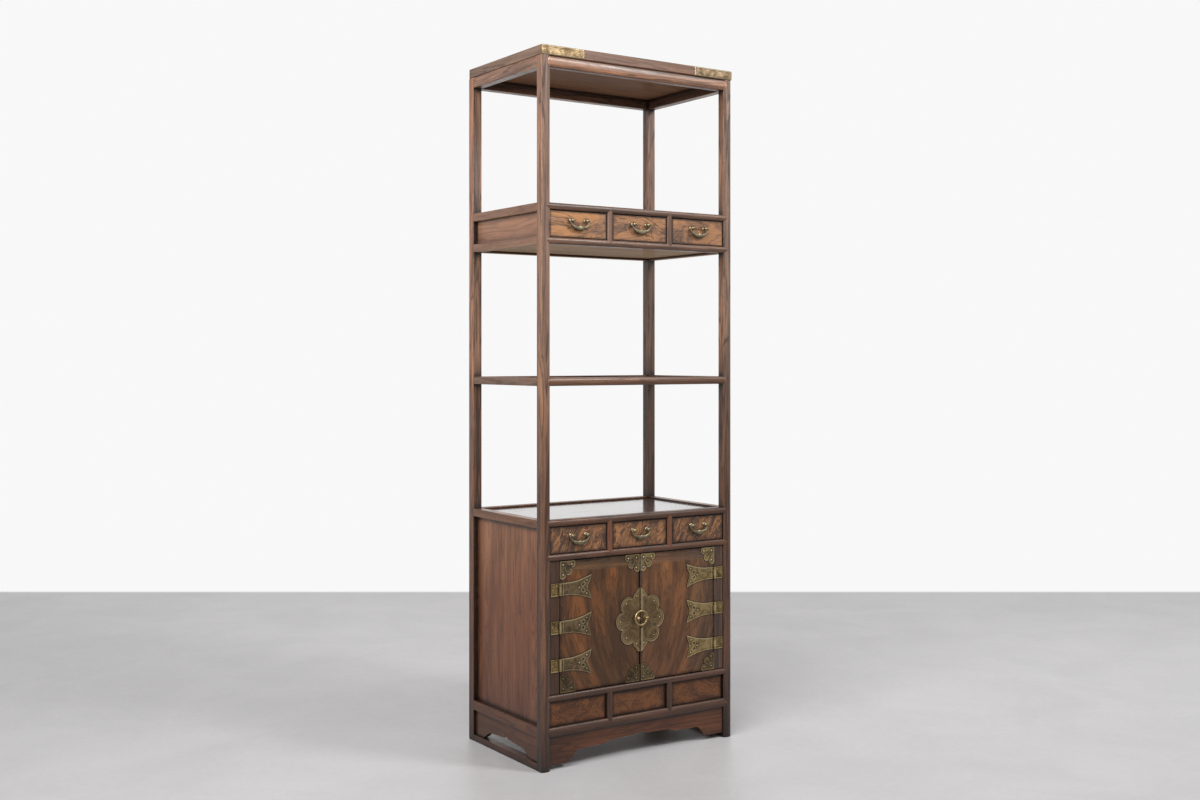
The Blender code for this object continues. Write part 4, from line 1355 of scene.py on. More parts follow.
@dataclass
class FaceFrame:
    """Two round-nosed rails with two uprights between them, which have a wood of their own."""

    bench: Bench
    node: str
    upright: WoodFinish
    uprights_back: float = PLANES.behind - 0.8 * MM
    foot: float = 15 * MM
    rail: float = 15 * MM
    crown: float = 5 * MM
    reach: float = middle_of("post_front_right", 0)
    step: float = DRAWER_PITCH / 2

    def nose(self, back: float, size: float, count: int = 28) -> Array:
        """Section with a half-round nose.

        Its depth is the crown times one less the cosine, and its place across half its size times the sine.

        Args:
            back: depth of its flat back.
            size: width of the section.
            count: points on the nose.

        Returns:
            Depth and across pairs round the section.
        """
        angle = np.linspace(-np.pi / 2, np.pi / 2, count)
        depth = PLANES.crest + self.crown * (1 - np.cos(angle))
        half = size / 2
        across = half * np.sin(angle)
        return np.vstack((np.column_stack((depth, across)), ((back, half), (back, -half))))

    def build(self) -> None:
        """Makes the frame in place of its solid, with grain along each member."""
        low, high = corners(self.node)
        rows = (low[2] + self.foot / 2, high[2] - self.rail / 2)
        members = []
        for row, size in zip(rows, (self.foot, self.rail)):
            rail = self.nose(PLANES.behind, size)
            section = np.column_stack((np.zeros(len(rail)), rail))
            members.append(sweep(section, (-self.reach, 0, row), (self.reach, 0, row)))
        bar = self.nose(self.uprights_back, self.rail)
        section = np.column_stack((bar[:, 1], bar[:, 0], np.zeros(len(bar))))
        for side in Side:
            across = side.value * self.step
            members.append(sweep(section, (across, 0, rows[0]), (across, 0, rows[1]), slot=1))
        finishes = self.bench.finishes
        woods = [finishes.material(RAIL_WOOD, Grain.ALONG_X), finishes.material(self.upright, Grain.ALONG_Z)]
        self.bench.piece(self.node + "_members", members, woods, "carcass", "frame_wood", (self.node,))


@dataclass
class DrawerRow:
    """Three drawers with their handle posts and drop handles."""

    bench: Bench
    tier: str
    finish: WoodFinish
    spacing: float = 39 * MM
    reach: float = 25.6 * MM
    drop: float = 18 * MM
    bend: float = 2.2 * MM
    wire: float = 1.6 * MM
    belly: float = 3.1 * MM
    tip: float = 7 * MM
    point: float = 2.6 * MM
    point_width: float = 2.4 * MM

    def build(self) -> None:
        """Dresses the drawers and hangs their handles on the joints' axes."""
        for place in ("left", "middle", "right"):
            drawer = f"{self.tier}_drawer_{place}"
            bail = f"{self.tier}_bail_{place}"
            pivot = JOINTS[bail + "_swing"]["pos_m"]
            self.bench.dress(drawer, self.finish, Grain.ALONG_X)
            brass = [self.bench.finishes.material(finish) for finish in (POST_BRASS, HANDLE_BRASS)]
            self.bench.piece(drawer + "_handle_posts", self.posts(pivot), brass[:1], drawer, "brass")
            self.bench.piece(bail + "_drop", [self.bail(pivot)], brass[1:], bail, "brass", (bail,), 60.0)

    def posts(self, pivot: Point) -> list[Surface]:
        """Two turned posts: a flat collar, a neck and a ball that the drop handle passes through.

        Args:
            pivot: middle of the handle's axis.

        Returns:
            Their surfaces.
        """
        neck = 2.85 * MM
        collar = np.array(((5.2, 0.1), (5.2, -0.5), (4.6, -1.1), (4.1, -1.7), (2.95, -2.3))) * MM
        ball = ball_profile(4.2 * MM, pivot[1] - PLANES.face, neck)
        profile = np.vstack((collar, (neck, -3.0 * MM), ball))
        centres = [(pivot[0] + side.value * self.spacing / 2, PLANES.face, pivot[2]) for side in Side]
        return [lathe(profile, centre, 1, 20, raised=0.5) for centre in centres]

    def line(self) -> tuple[Array, Array, Array]:
        """Middle line of the drop: straight tips, small bends, and half an ellipse below them.

        Returns:
            Across, up and swell along the line, the swell being the sine squared of the ellipse's angle.
        """
        turn = np.linspace(0, np.pi / 2, 6)
        inner = np.linspace(self.spacing / 2 - self.tip, self.reach - self.bend, 6)[:-1]
        across = np.concatenate((inner, self.reach - self.bend * (1 - np.sin(turn))))
        up = np.concatenate((np.zeros_like(inner), -self.bend * (1 - np.cos(turn))))
        angle = np.linspace(0, np.pi, 45)[1:-1]
        arc = (self.reach * np.cos(angle), -self.bend - (self.drop - self.bend) * np.sin(angle))
        thin = np.zeros_like(across)
        swell = np.concatenate((thin, np.sin(angle) ** 2, thin))
        return np.concatenate((across, arc[0], -across[::-1])), np.concatenate((up, arc[1], up[::-1])), swell

    def bail(self, pivot: Point) -> Surface:
        """Drop handle: an ellipse carried along the line, fuller and flatter at the belly.

        Each section's cosine and sine keep their signs and are raised to a power, 1 at the tips and 0.55 at
        the belly. The inner edge has a point at the middle and is rubbed bright, the outer edge is darkened
        by tarnish and a painted shadow, and fine rings are cut across the belly.

        Args:
            pivot: middle of the handle's axis.

        Returns:
            Its closed surface.
        """
        across, up, swell = self.line()
        along = np.stack((np.gradient(across), np.gradient(up)))
        along /= np.linalg.norm(along, axis=0)
        aside = np.stack((along[1], -along[0]))
        angle = np.linspace(0, 2 * np.pi, 16, endpoint=False)
        flat = (1 - 0.45 * swell)[:, None]
        aside_share = np.sign(np.cos(angle)) * np.abs(np.cos(angle)) ** flat
        front_share = np.sign(np.sin(angle)) * np.abs(np.sin(angle)) ** flat
        wide = (self.wire + self.belly * swell)[:, None] * aside_share
        point = self.point * ridge(across, self.point_width) * (swell > 0.5)
        inward = np.where(aside[1] > 0, 1.0, -1.0)[:, None]
        wide += inward * point[:, None] * np.clip(inward * np.cos(angle), 0, 1) ** 2
        deep = (self.wire + self.belly * swell / 3)[:, None] * front_share
        points = np.empty((len(across), len(angle), 3))
        points[..., 0] = pivot[0] + across[:, None] + aside[0][:, None] * wide
        points[..., 1] = pivot[1] + deep
        points[..., 2] = pivot[2] + up[:, None] + aside[1][:, None] * wide
        length = np.cumsum(np.hypot(np.gradient(across), np.gradient(up)))[:, None]
        rings = (swell[:, None] > 0.35) * np.clip(np.cos(length / (0.55 * MM)) - 0.2, 0, 1)
        # Painted shadow, partly tarnish: the outer, lower edge of the belly is darkened through the cut mark.
        outer = np.clip(-1.6 * inward * np.cos(angle) - 0.5, 0, 1) * np.clip(4 * swell, 0, 1)[:, None]
        cut = np.maximum(rings * (np.sin(angle) < 0.3) * 0.4, 0.9 * outer)
        raised = np.clip(inward * np.cos(angle) - 0.45, 0, 1) * (0.15 + 0.85 * swell)[:, None]
        return Surface(points, round_columns=True, capped=True, marks={"cut": cut, "raised": raised})


@dataclass
class StrapHinge:
    """Fish-tail strap on a door, fixed leaf on the stile, knuckles and nails."""

    bench: Bench
    side: Side
    place: str
    knuckle: float = 3.2 * MM
    knuckle_gap: float = 0.3 * MM
    clear: float = 3.8 * MM
    straight: float = 22 * MM
    notch: float = 12 * MM
    rim: float = 0.45 * MM
    sunk: float = 0.35 * MM
    heart: float = 52 * MM
    curl: tuple[float, float] = (72 * MM, 15 * MM)
    leaf_nails: tuple[tuple[float, float], ...] = ((-9, -8), (-9, 8), (-19, 0))

    def __post_init__(self) -> None:
        """Reads the pin's place and the plates' sizes from the frame."""
        strap = corners("hinge_strap_" + self.name)
        leaf = corners("hinge_leaf_" + self.name)
        pin = JOINTS[f"door_{self.side.label}_hinge"]["pos_m"]
        self.pin, self.pin_depth = abs(pin[0]), pin[1]
        self.height = strap[:, 2].mean()
        self.tail = np.ptp(strap[:, 2]) / 2
        self.half = np.ptp(leaf[:, 2]) / 2
        self.length = self.pin - np.abs(strap[:, 0]).min()
        self.leaf = np.abs(leaf[:, 0]).max() - self.pin

    @property
    def name(self) -> str:
        """The hinge's side and place, as its nodes spell them."""
        return f"{self.side.label}_{self.place}"

    def build(self) -> None:
        """Makes the strap and the leaf in place of their solids."""
        brass = [self.bench.finishes.material(PLATE_BRASSES[self.side])]
        door = "door_" + self.side.label
        middle = (-self.half / 2, self.half / 2)
        strap = [self.strap(), self.barrel(*middle), self.tongue(*middle, 1), *self.nails(True)]
        self.bench.piece("strap_" + self.name, strap, brass, door, "brass", ("hinge_strap_" + self.name,))
        gap = self.half / 2 + self.knuckle_gap
        leaf = [self.leaf_plate(), *self.nails(False)]
        for low, high in ((-self.half, -gap), (gap, self.half)):
            leaf += [self.barrel(low, high), self.tongue(low, high, -1)]
        brass = [self.bench.finishes.material(LEAF_BRASS)]
        self.bench.piece("leaf_" + self.name, leaf, brass, "carcass", "brass", ("hinge_leaf_" + self.name,))

    def placed(self, out: Array, up: Array, depth: Array | float) -> Array:
        """Points from distances out from the pin towards the door's middle, up from the hinge and along Y."""
        return grid(self.side.value * (self.pin - out), depth, self.height + up)

    def plated(self, out: Array, up: Array, cut: Array, raised: Array, rubbed: Array) -> Surface:
        """Plate whose front is sunk where it is cut and proud where it is raised, over a flat back.

        Args:
            out, up: places on the plate, from the pin and from the hinge's height.
            cut, raised: how deep or proud each point is, as shares.
            rubbed: how bright it is rubbed, including the strap's painted highlight.

        Returns:
            Its closed surface.
        """
        depth = PLANES.plate_front - self.rim * raised + self.sunk * cut
        back = self.placed(out, up, PLANES.plate_back)
        return slab(self.placed(out, up, depth), back, cut=cut, raised=rubbed)

    def strap(self) -> Surface:
        """Strap: half its width is straight, then grows as the power 1.8 of the way to the notched tail.

        The surface runs along the strap and across it. It has a raised rim, rubbed bright and with a painted
        highlight along the upper edge, a cut line inside the rim, two bars at the root, and a ring, two eyes
        and two curls at the tail.

        Returns:
            Its closed surface.
        """
        share, across = np.meshgrid(np.linspace(0, 1, 96), np.linspace(-1, 1, 57), indexing="ij")
        end = self.length - self.notch * (1 - np.abs(across)) ** 1.6
        out = self.clear + (end - self.clear) * share
        flare = np.clip((out - self.straight) / (self.length - self.straight), 0, 1) ** 1.8
        width = self.half + (self.tail - self.half) * flare
        up = across * width
        side = (1 - np.abs(across)) * width
        back_off = (end - out) * 0.8
        line = np.minimum(side, back_off) - 3.0 * MM
        eye = np.hypot(out - 60 * MM - 0.35 * np.abs(up), np.abs(up) - 6.5 * MM)
        curl = np.abs(np.hypot(out - self.curl[0], np.abs(up) - self.curl[1]) - 3.4 * MM)
        bars = np.minimum(np.abs(out - 6.5 * MM), np.abs(out - 12.5 * MM))
        ring = np.abs(np.hypot(out - self.heart, 1.2 * up) - 5.2 * MM)
        cut = np.maximum.reduce((
            0.8 * ridge(line, 0.7 * MM),
            np.clip(0.5 + (3.3 * MM - eye) / (0.9 * MM), 0, 1),
            ridge(curl, 1.2 * MM),
            0.9 * ridge(bars, 0.8 * MM),
            0.95 * ridge(ring, 1.2 * MM),
        ))
        # Painted highlight: the rim stands higher and brighter along the upper edge than the lower one.
        raised = np.maximum.reduce((
            ridge(side, 1.2 * MM) * (0.75 + 0.4 * np.sign(across)),
            0.35 * ridge(back_off, 0.9 * MM),
            0.5 * ridge(eye - 4.7 * MM, 0.8 * MM),
            0.4 * ridge(out - 9.5 * MM, 1.2 * MM),
        ))
        # Painted highlight: a wider bright band along the upper edge, over the rubbed rim.
        rubbed = np.maximum(0.8 * raised, ridge(side, 2.3 * MM) * (across > 0))
        return self.plated(out, up, cut, raised, rubbed)

    def leaf_plate(self) -> Surface:
        """Fixed leaf: a flat plate over its length and height, with a raised rim, a cut line and a hatch.

        Returns:
            Its closed surface.
        """
        share, across = np.meshgrid(np.linspace(0, 1, 26), np.linspace(-1, 1, 30), indexing="ij")
        out = -self.clear - (self.leaf - self.clear) * share
        up = across * self.half
        border = np.minimum((1 - np.abs(across)) * self.half, self.leaf + out)
        hatch = np.clip(np.cos(2 * np.pi * out / (3.4 * MM)), 0, 1) ** 3 * (border > 3.6 * MM)
        cut = np.maximum(0.8 * ridge(border - 2.8 * MM, 0.75 * MM), 0.8 * hatch)
        raised = ridge(border, 1.1 * MM)
        return self.plated(out, up, cut, raised, 0.8 * raised)

    def barrel(self, low: float, high: float) -> Surface:
        """Knuckle: a rod with eased ends, turned on the pin.

        Args:
            low, high: its ends, up from the hinge.

        Returns:
            Its closed surface.
        """
        ease = 0.5 * MM
        inner = self.knuckle - ease
        outer = self.knuckle
        profile = np.array(((inner, low), (outer, low + ease), (outer, high - ease), (inner, high)))
        return lathe(profile, (self.side.value * self.pin, self.pin_depth, self.height), 2, 20, raised=0.35)

    def tongue(self, low: float, high: float, way: int) -> Surface:
        """Bent neck of four corners from a knuckle to its plate: way 1 is to the door, -1 to the stile."""
        out, up = np.meshgrid(way * np.array((1.0, 4.2)) * MM, np.array((low, high)), indexing="ij")
        return slab(self.placed(out, up, PLANES.plate_front), self.placed(out, up, PLANES.plate_back))

    def nails(self, strap: bool) -> list[Surface]:
        """Nail heads in the strap's ring and curls, or on the leaf.

        Args:
            strap: whether they are the strap's.

        Returns:
            Their surfaces.
        """
        curl_out, curl_up = self.curl
        strap_spots = np.array(((self.heart, 0.0), (curl_out, -curl_up), (curl_out, curl_up)))
        spots = strap_spots if strap else np.array(self.leaf_nails) * MM
        points = self.placed(*spots.T, PLANES.plate_front + 0.1 * MM)
        return domes(points, 1.6 * MM, 1.2 * MM) if strap else domes(points, 1.3 * MM, 0.8 * MM)


@dataclass
class CornerPlate:
    """Pierced brass plate on one corner of a door."""

    bench: Bench
    side: Side
    inner: bool
    upper: bool
    leg: float = 41 * MM
    spots: tuple[tuple[float, float], ...] = ((8, 8), (31, 8), (8, 31))
    margin: float = 0.6 * MM
    inset: float = 0.4 * MM
    relief: float = 0.3 * MM
    scallops: float = 5.294

    def placed(self, out: Array, rise: Array, depth: Array | float) -> Array:
        """Points from distances along the two edges of the door's corner, and along Y.

        Args:
            out, rise: distances from the corner, across and up or down.
            depth: place along Y.

        Returns:
            The points.
        """
        low, high = corners("door_" + self.side.label)
        near, far = sorted((abs(low[0]), abs(high[0])))
        start, way = (near + self.margin, 1) if self.inner else (far - self.margin, -1)
        level, lift = (high[2] - self.margin, -1) if self.upper else (low[2] + self.margin, 1)
        return grid(self.side.value * (start + way * out), depth, level + lift * rise)

    def build(self) -> None:
        """Makes the plate with its nails."""
        names = (self.side.label, "inner" if self.inner else "outer", "top" if self.upper else "bottom")
        name = "corner_plate_" + "_".join(names)
        brass = [self.bench.finishes.material((PLATE_BRASSES if self.upper else DULL_BRASSES)[self.side])]
        surfaces = [self.plate(), *self.nails()]
        self.bench.piece(name, surfaces, brass, "door_" + self.side.label, "brass")

    def plate(self) -> Surface:
        """Plate about the corner: a quarter round with three scallops, over its angle and radius share.

        The radius is a plain one and a scallop, which is the power 0.6 of a cosine about the diagonal. A slot
        is sunk from each notch, a hook beside the diagonal, and a ring round each nail.

        Returns:
            Its closed surface.
        """
        angle, share = np.meshgrid(np.linspace(0, np.pi / 2, 81), np.linspace(0, 1, 34), indexing="ij")
        radius = self.leg * (0.78 + 0.21 * np.abs(np.cos(self.scallops * (angle - np.pi / 4))) ** 0.6)
        out = share * radius * np.cos(angle)
        rise = share * radius * np.sin(angle)
        border = np.minimum((1 - share) * radius, np.minimum(out, rise))
        raised = ridge(border, 0.9 * MM)
        aside = np.abs(np.minimum(out, rise) - 0.53 * np.maximum(out, rise))
        slot = np.maximum(aside - 2.0 * MM, 20 * MM - np.hypot(out, rise))
        bow = np.abs(np.hypot(out - 20 * MM, rise - 16 * MM) - 3.6 * MM)
        hook = np.maximum(bow - 2.0 * MM, out - rise - 6 * MM)
        cut = np.clip(0.5 - np.minimum(slot, hook) / (0.8 * MM), 0, 1)
        for spot in self.spots:
            ring = np.abs(np.hypot(out - spot[0] * MM, rise - spot[1] * MM) - 3.6 * MM)
            cut = np.maximum(cut, 0.95 * ridge(ring, 1.1 * MM))
        depth = PLANES.plate_front + self.inset - self.relief * raised + self.relief * cut
        back = self.placed(out, rise, PLANES.plate_back)
        return slab(self.placed(out, rise, depth), back, cut=cut, raised=0.75 * raised)

    def nails(self) -> list[Surface]:
        """Nail heads, near the corner and the ends of the legs.

        Returns:
            Their surfaces.
        """
        spots = np.array(self.spots) * MM
        points = self.placed(*spots.T, PLANES.plate_front + 0.5 * MM)
        return domes(points, 2.1 * MM, 1.4 * MM)


@dataclass
class LockFlower:
    """Eight-lobed lock plate in two halves, with its knob, eye and latch ring."""

    bench: Bench
    notch: float = 53 * MM
    knob_out: float = 11 * MM
    relief: float = 0.35 * MM
    nail_reach: float = 56 * MM
    nail_turns: tuple[float, ...] = (45, 0, -45, 80, -80)
    stem: float = 2.8 * MM

    def __post_init__(self) -> None:
        """Reads the plate's size and split, the ring and its axis from the frame."""
        plate = corners("lock_plate_right")
        ring = corners("latch_ring")
        self.split, outer = plate[:, 0]
        self.height = plate[:, 2].mean()
        self.lobe = outer - self.notch
        self.point = np.ptp(plate[:, 2]) / 2 - outer
        self.eye_out, self.ring_depth, self.axis = JOINTS["latch_ring_swing"]["pos_m"]
        self.wire = np.ptp(ring[:, 1]) / 2
        self.ring = np.ptp(ring[:, 0]) / 2 - self.wire

    def build(self) -> None:
        """Makes both halves and the ring in place of their solids."""
        flower = self.bench.finishes.material(FLOWER_BRASS)
        bright = self.bench.finishes.material(RING_BRASS)
        fittings = {Side.LEFT: self.knob(), Side.RIGHT: self.eye()}
        for side in Side:
            surfaces = [self.half(side), *self.nails(side), *fittings[side]]
            plate = f"lock_plate_{side.label}"
            name = f"flower_{side.label}"
            self.bench.piece(name, surfaces, [flower, bright], f"door_{side.label}", "brass", (plate,))
        self.bench.piece("pull_ring", [self.latch()], [bright], "latch_ring", "brass", ("latch_ring",))

    def radius(self, angle: Array) -> Array:
        """Edge of the flower: the notch radius, a lobe as the power 0.6 of a four-fold cosine, and points.

        Args:
            angle: way from the middle, in radians.

        Returns:
            Distance of the edge that way; a point stands out straight up and straight down.
        """
        shoulder = math.cos(math.pi / 16)
        tip = np.clip(np.abs(np.sin(angle)) - shoulder, 0, None) / (1 - shoulder)
        return self.notch + self.lobe * np.abs(np.cos(4 * angle)) ** 0.6 + self.point * tip

    def half(self, side: Side) -> Surface:
        """Half of the flower over its angle and share of the radius, cut straight at the split.

        A rim is raised round each lobe, petals are cut in lines towards the middle, a hole is sunk at each
        notch, two rings go round the boss, and a bar on the right half runs along the split.

        Args:
            side: the half.

        Returns:
            Its closed surface.
        """
        turn = np.linspace(-np.pi / 2, np.pi / 2, 145)
        angle, share = np.meshgrid(turn, np.linspace(0, 1, 52), indexing="ij")
        edge = self.radius(angle)
        reach = share * edge
        out = np.maximum(reach * np.cos(angle), self.split)
        border = (1 - share) * edge
        lobes = np.cos(4 * angle)
        petals = np.cos(8 * angle)
        hatch = np.clip(np.cos(56 * angle), 0, 1) ** 3 * (border > 7 * MM) * (reach > 47 * MM)
        vein = np.clip(ridge(petals - 1.0, 0.02) + ridge(petals - 0.2, 0.16), 0, 1)
        cut = np.maximum.reduce((
            0.95 * ridge(border - 3.3 * MM, 1.0 * MM),
            ridge(lobes, 0.24) * ridge(reach - 43 * MM, 2.4 * MM),
            0.6 * hatch,
            0.75 * vein * (reach > 32 * MM) * (border > 6 * MM),
            0.9 * ridge(lobes, 0.10) * (reach > 30 * MM) * (border > 1.5 * MM),
            0.8 * ridge(reach - 24.5 * MM, 0.8 * MM),
            0.8 * ridge(reach - 29.0 * MM, 0.8 * MM),
        ))
        swell = 0.15 * MM * np.clip(1 - np.abs(share - 0.78) / 0.2, 0, 1) * np.abs(lobes) ** 0.5
        bar = np.clip(2.2 - np.abs(out - 5.4 * MM) / (1.8 * MM), 0, 1)
        bar = bar * (side is Side.RIGHT) * (reach > 22 * MM)
        rims = ridge(border, 1.3 * MM) + 0.7 * ridge(border - 5.6 * MM, 0.8 * MM)
        raised = np.maximum(rims, 0.5 * bar)
        depth = PLANES.plate_front - self.relief * raised - swell - 0.5 * MM * bar + self.relief * cut
        up = self.height + reach * np.sin(angle)
        top = grid(side.value * out, depth, up)
        bottom = grid(side.value * out, PLANES.plate_back, up)
        return slab(top, bottom, cut=cut * (1 - bar), raised=0.9 * raised)

    def nails(self, side: Side) -> list[Surface]:
        """Five nail heads on the lobes of a half, the outer two beside the split.

        Args:
            side: the half.

        Returns:
            Their surfaces.
        """
        turn = np.radians(self.nail_turns)
        across = side.value * self.nail_reach * np.cos(turn)
        up = self.height + self.nail_reach * np.sin(turn)
        return domes(grid(across, PLANES.plate_front - 0.3 * MM, up), 1.9 * MM, 1.3 * MM)

    def knob(self) -> list[Surface]:
        """Knob on the left half: a turned stem and a ball.

        Returns:
            Its one surface.
        """
        stem = np.array(((4.4, 0.0), (4.4, -0.8), (2.8, -1.6), (2.8, -4.5))) * MM
        profile = np.vstack((stem, ball_profile(4.3 * MM, -8.6 * MM, self.stem)))
        knob = lathe(profile, (-self.knob_out, PLANES.plate_front, self.axis), 1, 24, raised=0.8)
        knob.slot = 1
        return [knob]

    def eye(self) -> list[Surface]:
        """Eye on the right half: a turned stem, and a flattened ring about an upright axis.

        The ring's reach from its axis is 3.95 mm plus 1.15 mm times a cosine, and its height 2 mm times the
        sine.

        Returns:
            Both surfaces.
        """
        stem = np.array(((4.6, 0.0), (4.6, -0.8), (2.8, -1.6), (2.8, -4.6))) * MM
        root = lathe(stem, (self.eye_out, PLANES.plate_front, self.axis), 1, 20, raised=0.6)
        around, about = torus_angles(24, 12)
        reach = (3.95 + 1.15 * np.cos(about)) * MM
        across = self.eye_out + reach * np.cos(around)
        depth = self.ring_depth + reach * np.sin(around)
        points = grid(across, depth, self.axis + 2.0 * MM * np.sin(about))
        marks = {"raised": np.full(points.shape[:2], 0.6)}
        loop = Surface(points, round_rows=True, round_columns=True, marks=marks)
        root.slot = loop.slot = 1
        return [root, loop]

    def latch(self) -> Surface:
        """Ring: a circle of wire carried round the ring's own circle, in the plane of the door.

        Returns:
            Its closed surface.
        """
        around, about = torus_angles(64, 14)
        reach = self.ring + self.wire * np.cos(about)
        across = self.eye_out - self.ring + reach * np.cos(around)
        depth = self.ring_depth + self.wire * np.sin(about)
        points = grid(across, depth, self.axis + reach * np.sin(around))
        marks = {"raised": 0.5 + 0.4 * np.cos(about)}
        return Surface(points, round_rows=True, round_columns=True, marks=marks)


@dataclass
class TopMount:
    """Brass mount round a front corner of the top board."""

    bench: Bench
    side: Side
    length: float = 115 * MM
    wrap: float = 12 * MM
    thick: float = 0.7 * MM
    fold: float = 1.2 * MM
    corner: float = corners("top_board")[1, 0]
    front: float = corners("top_board")[0, 1]
    low: float = corners("top_board")[0, 2] + 0.7 * MM
    high: float = corners("top_board")[1, 2] - 0.8 * MM
    nail_ways: tuple[float, ...] = (10 * MM, 52 * MM, 100 * MM)

    def build(self) -> None:
        """Makes the mount with its nails."""
        brass = [self.bench.finishes.material(MOUNT_BRASSES[self.side])]
        surfaces = [self.sheet(), *self.nails()]
        self.bench.piece(f"top_mount_{self.side.label}", surfaces, brass, "carcass", "brass")

    def sheet(self) -> Surface:
        """Sheet bent round the corner: a path along the front and back along the side, carried up the edge.

        Its end is scalloped by a sine of the height, its edges are eased, and a scroll is cut along it.

        Returns:
            Its closed surface, over the way along the path and the height.
        """
        side_way = np.linspace(-self.wrap, -self.fold, 8)
        along = np.concatenate((side_way, np.linspace(self.fold, self.length, 70)))
        way, share = np.meshgrid(along, np.linspace(0, 1, 18), indexing="ij")
        end = self.length - 3.0 * MM * np.abs(np.sin(3 * np.pi * share))
        fitted = self.fold + (way - self.fold) * (end - self.fold) / (self.length - self.fold)
        way = np.where(way > 0, fitted, way)
        aside = np.minimum(share, 1 - share)
        ease = np.clip(1 - aside / 0.08, 0, 1) ** 2 * 1.1 * MM
        border = np.minimum(aside * (self.high - self.low), end - way)
        raised = ridge(border, 1.2 * MM)
        scroll = np.abs(np.sin(way / (7.5 * MM))) - np.abs(2 * share - 1) * 1.6
        scroll_cut = 0.35 * ridge(scroll, 0.16) * (border > 4.5 * MM) * (way > 2 * MM)
        cut = np.maximum(0.8 * ridge(border - 3.4 * MM, 0.7 * MM), scroll_cut)
        up = self.low + share * (self.high - self.low)
        top = self.bent(way, up, self.thick + 0.2 * MM * raised - 0.25 * MM * cut - ease)
        bottom = self.bent(way, up, 0.05 * MM - ease)
        return slab(top, bottom, cut=cut, raised=0.8 * raised)

    def bent(self, way: Array, up: Array | float, proud: Array | float) -> Array:
        """Points round the corner.

        Args:
            way: distance along the front, or back along the side where it is below 0.
            up: height.
            proud: how far the points stand off the board.

        Returns:
            The points.
        """
        outer = self.corner + proud
        face = self.front - proud
        out = np.where(way > 0, outer - np.maximum(way - self.fold, 0), outer)
        deep = np.where(way > 0, face, face + np.maximum(-way - self.fold, 0))
        return grid(self.side.value * out, deep, up)

    def nails(self) -> list[Surface]:
        """Nail heads along the middle of the front."""
        points = self.bent(np.array(self.nail_ways), (self.low + self.high) / 2, 0.6 * MM)
        return domes(points, 1.8 * MM, 1.2 * MM)


@dataclass
class Cupboard:
    """Doors with their hinges, corner plates and lock."""

    bench: Bench
    places: tuple[str, ...] = ("top", "middle", "bottom")

    def build(self) -> None:
        """Dresses the doors and makes their brass."""
        for side in Side:
            self.bench.dress("door_" + side.label, DOOR_WOODS[side], Grain.ALONG_Z)
            for place in self.places:
                StrapHinge(self.bench, side, place).build()
            for inner in (True, False):
                for upper in (True, False):
                    CornerPlate(self.bench, side, inner, upper).build()
        LockFlower(self.bench).build()


# Studio


@dataclass(frozen=True)
class Lamp:
    """One large soft lamp: its place, what it faces, the side of its square and its power in watts."""

    name: str
    place: Point
    aim: Point
    size: float
    power: float

    def build(self) -> None:
        """Hangs the lamp and turns it to what it faces."""
        data = bpy.data.lights.new(self.name, "AREA")
        data.size = self.size
        data.energy = self.power
        lamp = bpy.data.objects.new(self.name, data)
        lamp.location = self.place
        away = np.array(self.place) - np.array(self.aim)
        level = math.hypot(away[0], away[1])
        lamp.rotation_euler = (math.atan2(level, away[2]), 0.0, math.atan2(away[0], -away[1]))
        lamp.visible_camera = False
        bpy.context.scene.collection.objects.link(lamp)


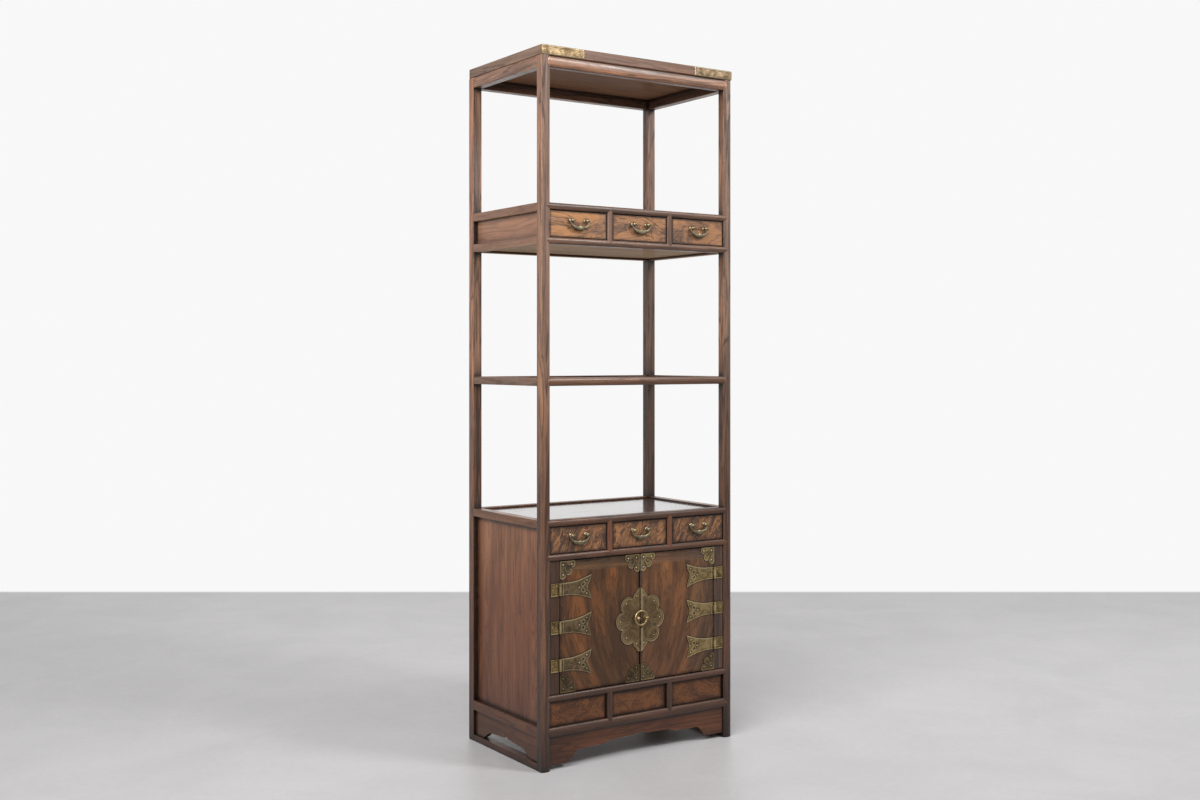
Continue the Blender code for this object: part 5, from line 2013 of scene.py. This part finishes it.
@dataclass
class Studio:
    """Floor, light and camera round the stand."""

    lens: float = 41.445
    sensor: float = 36.0
    place: Point = (-1.8708, -2.7820, 0.9217)
    heading: float = math.radians(33.85)
    shift: float = -0.035
    floor: Colour = srgb(203, 201, 202)
    floor_half: float = 7.0
    floor_level: float = -0.5 * MM
    far: float = 2.07
    ambient: float = 0.32
    white: float = 0.94
    key: Lamp = Lamp("key", (-1.9, -1.2, 2.2), (0.0, 0.0, 1.1), 2.0, 84.0)
    fill: Lamp = Lamp("fill", (1.3, -2.2, 2.7), (0.0, 0.0, 0.8), 0.7, 58.0)

    def build(self) -> None:
        """Sets up everything that isn't the stand."""
        bpy.context.scene.view_settings.view_transform = "Standard"
        self.make_camera()
        self.make_world()
        self.make_floor()
        self.key.build()
        self.fill.build()

    def make_camera(self) -> None:
        """Places the camera at the height of the open bays, level, with the frame shifted down."""
        data = bpy.data.cameras.new("camera")
        data.lens = self.lens
        data.sensor_width = self.sensor
        data.shift_y = self.shift
        camera = bpy.data.objects.new("camera", data)
        camera.location = self.place
        camera.rotation_euler = (math.pi / 2, 0.0, -self.heading)
        bpy.context.scene.collection.objects.link(camera)
        bpy.context.scene.camera = camera

    @staticmethod
    def background_rays(bench: NodeBench) -> Socket:
        """Mask of the rays that show the surroundings: the camera's, mirrored ones and those through a piece.

        Args:
            bench: nodes of the material or the world.

        Returns:
            The mask's socket.
        """
        path = bench.add("ShaderNodeLightPath").outputs
        passed_on = bench.larger(path["Is Glossy Ray"], path["Is Transmission Ray"])
        return bench.larger(path["Is Camera Ray"], passed_on)

    def make_world(self) -> None:
        """White surroundings for the camera and for reflections, and a softer even light for the rest."""
        world = bpy.data.worlds.new("studio")
        bpy.context.scene.world = world
        world.use_nodes = True
        bench = NodeBench(world.node_tree)
        ground = world.node_tree.nodes["Background"]
        seen = self.background_rays(bench)
        level = bench.plus(self.ambient, bench.times(seen, self.white - self.ambient))
        ground.inputs["Color"].default_value = (1.0, 1.0, 1.0, 1.0)
        bench.feed(ground.inputs["Strength"], level)

    def make_floor(self) -> None:
        """Pale level floor: a flat grid, paler away from the lamps and white beyond them."""
        row = np.linspace(-self.floor_half, self.floor_half, 8)
        across, deep = np.meshgrid(row, row, indexing="ij")
        surface = Surface(grid(across, deep, self.floor_level))
        mesh = bpy.data.meshes.new("floor")
        mesh.from_pydata(surface.points.reshape(-1, 3), [], surface.quads().tolist())
        mesh.materials.append(self.floor_material())
        floor = bpy.data.objects.new("floor", mesh)
        bpy.context.scene.collection.objects.link(floor)

    def floor_material(self) -> Material:
        """Floor with faint clouds, a fine grain and a soft shine, white to the camera past the far line.

        Returns:
            The material.
        """
        material = bpy.data.materials.new("pale_floor")
        material.use_nodes = True
        bench = NodeBench(material.node_tree)
        shader = material.node_tree.nodes["Principled BSDF"]
        place = bench.object_place()
        x, y, _ = bench.parts(place)
        away = bench.plus(bench.times(x, math.sin(self.heading)), bench.times(y, math.cos(self.heading)))
        beyond = bench.span(away, self.far, self.far + 0.05)
        cloud = bench.noise(place, 3.0, detail=6.0, rough=0.65, twist=0.5)
        paler = bench.span(away, -1.0, 2.2, 0.766, 1.26)
        cloud = bench.times(bench.span(cloud, 0.25, 0.75, 0.93, 1.04), paler)
        fine = bench.span(bench.noise(place, 55.0, detail=4.0, rough=0.7), 0.3, 0.7, 0.97, 1.02)
        shade = bench.add("ShaderNodeCombineColor", {0: cloud, 1: cloud, 2: cloud}).outputs[0]
        grain = bench.add("ShaderNodeCombineColor", {0: fine, 1: fine, 2: fine}).outputs[0]
        grey = bench.mix(bench.mix(self.floor, shade, 1.0, "MULTIPLY"), grain, 1.0, "MULTIPLY")
        bench.feed(shader.inputs["Base Color"], bench.mix(grey, (0.9, 0.9, 0.9, 1.0), beyond))
        shader.inputs["Roughness"].default_value = 0.42
        glow = {"Color": (1.0, 1.0, 1.0, 1.0), "Strength": self.white}
        white = bench.add("ShaderNodeEmission", glow).outputs[0]
        seen = bench.times(beyond, self.background_rays(bench))
        both = bench.add("ShaderNodeMixShader", {0: seen, 1: shader.outputs[0], 2: white})
        bench.feed(material.node_tree.nodes["Material Output"].inputs["Surface"], both.outputs[0])
        return material


def main() -> None:
    """Builds the sub-assemblies in order."""
    logging.basicConfig(level=logging.INFO, format="%(name)s: %(message)s")
    Studio().build()
    bench = Bench(Finishes(Effects()))
    Carcass(bench).dress()
    base_back = corners("base_board")[0, 1] - 0.3 * MM
    FaceFrame(bench, "upper_drawer_frame", UPRIGHT_WOOD).build()
    FaceFrame(bench, "lower_drawer_frame", LOWER_UPRIGHT_WOOD).build()
    FaceFrame(bench, "base_frame", BASE_UPRIGHT_WOOD, base_back, foot=22 * MM).build()
    DrawerRow(bench, "upper", UPPER_DRAWER_WOOD).build()
    DrawerRow(bench, "lower", LOWER_DRAWER_WOOD).build()
    Cupboard(bench).build()
    for side in Side:
        TopMount(bench, side).build()


if __name__ == "__main__":
    main()
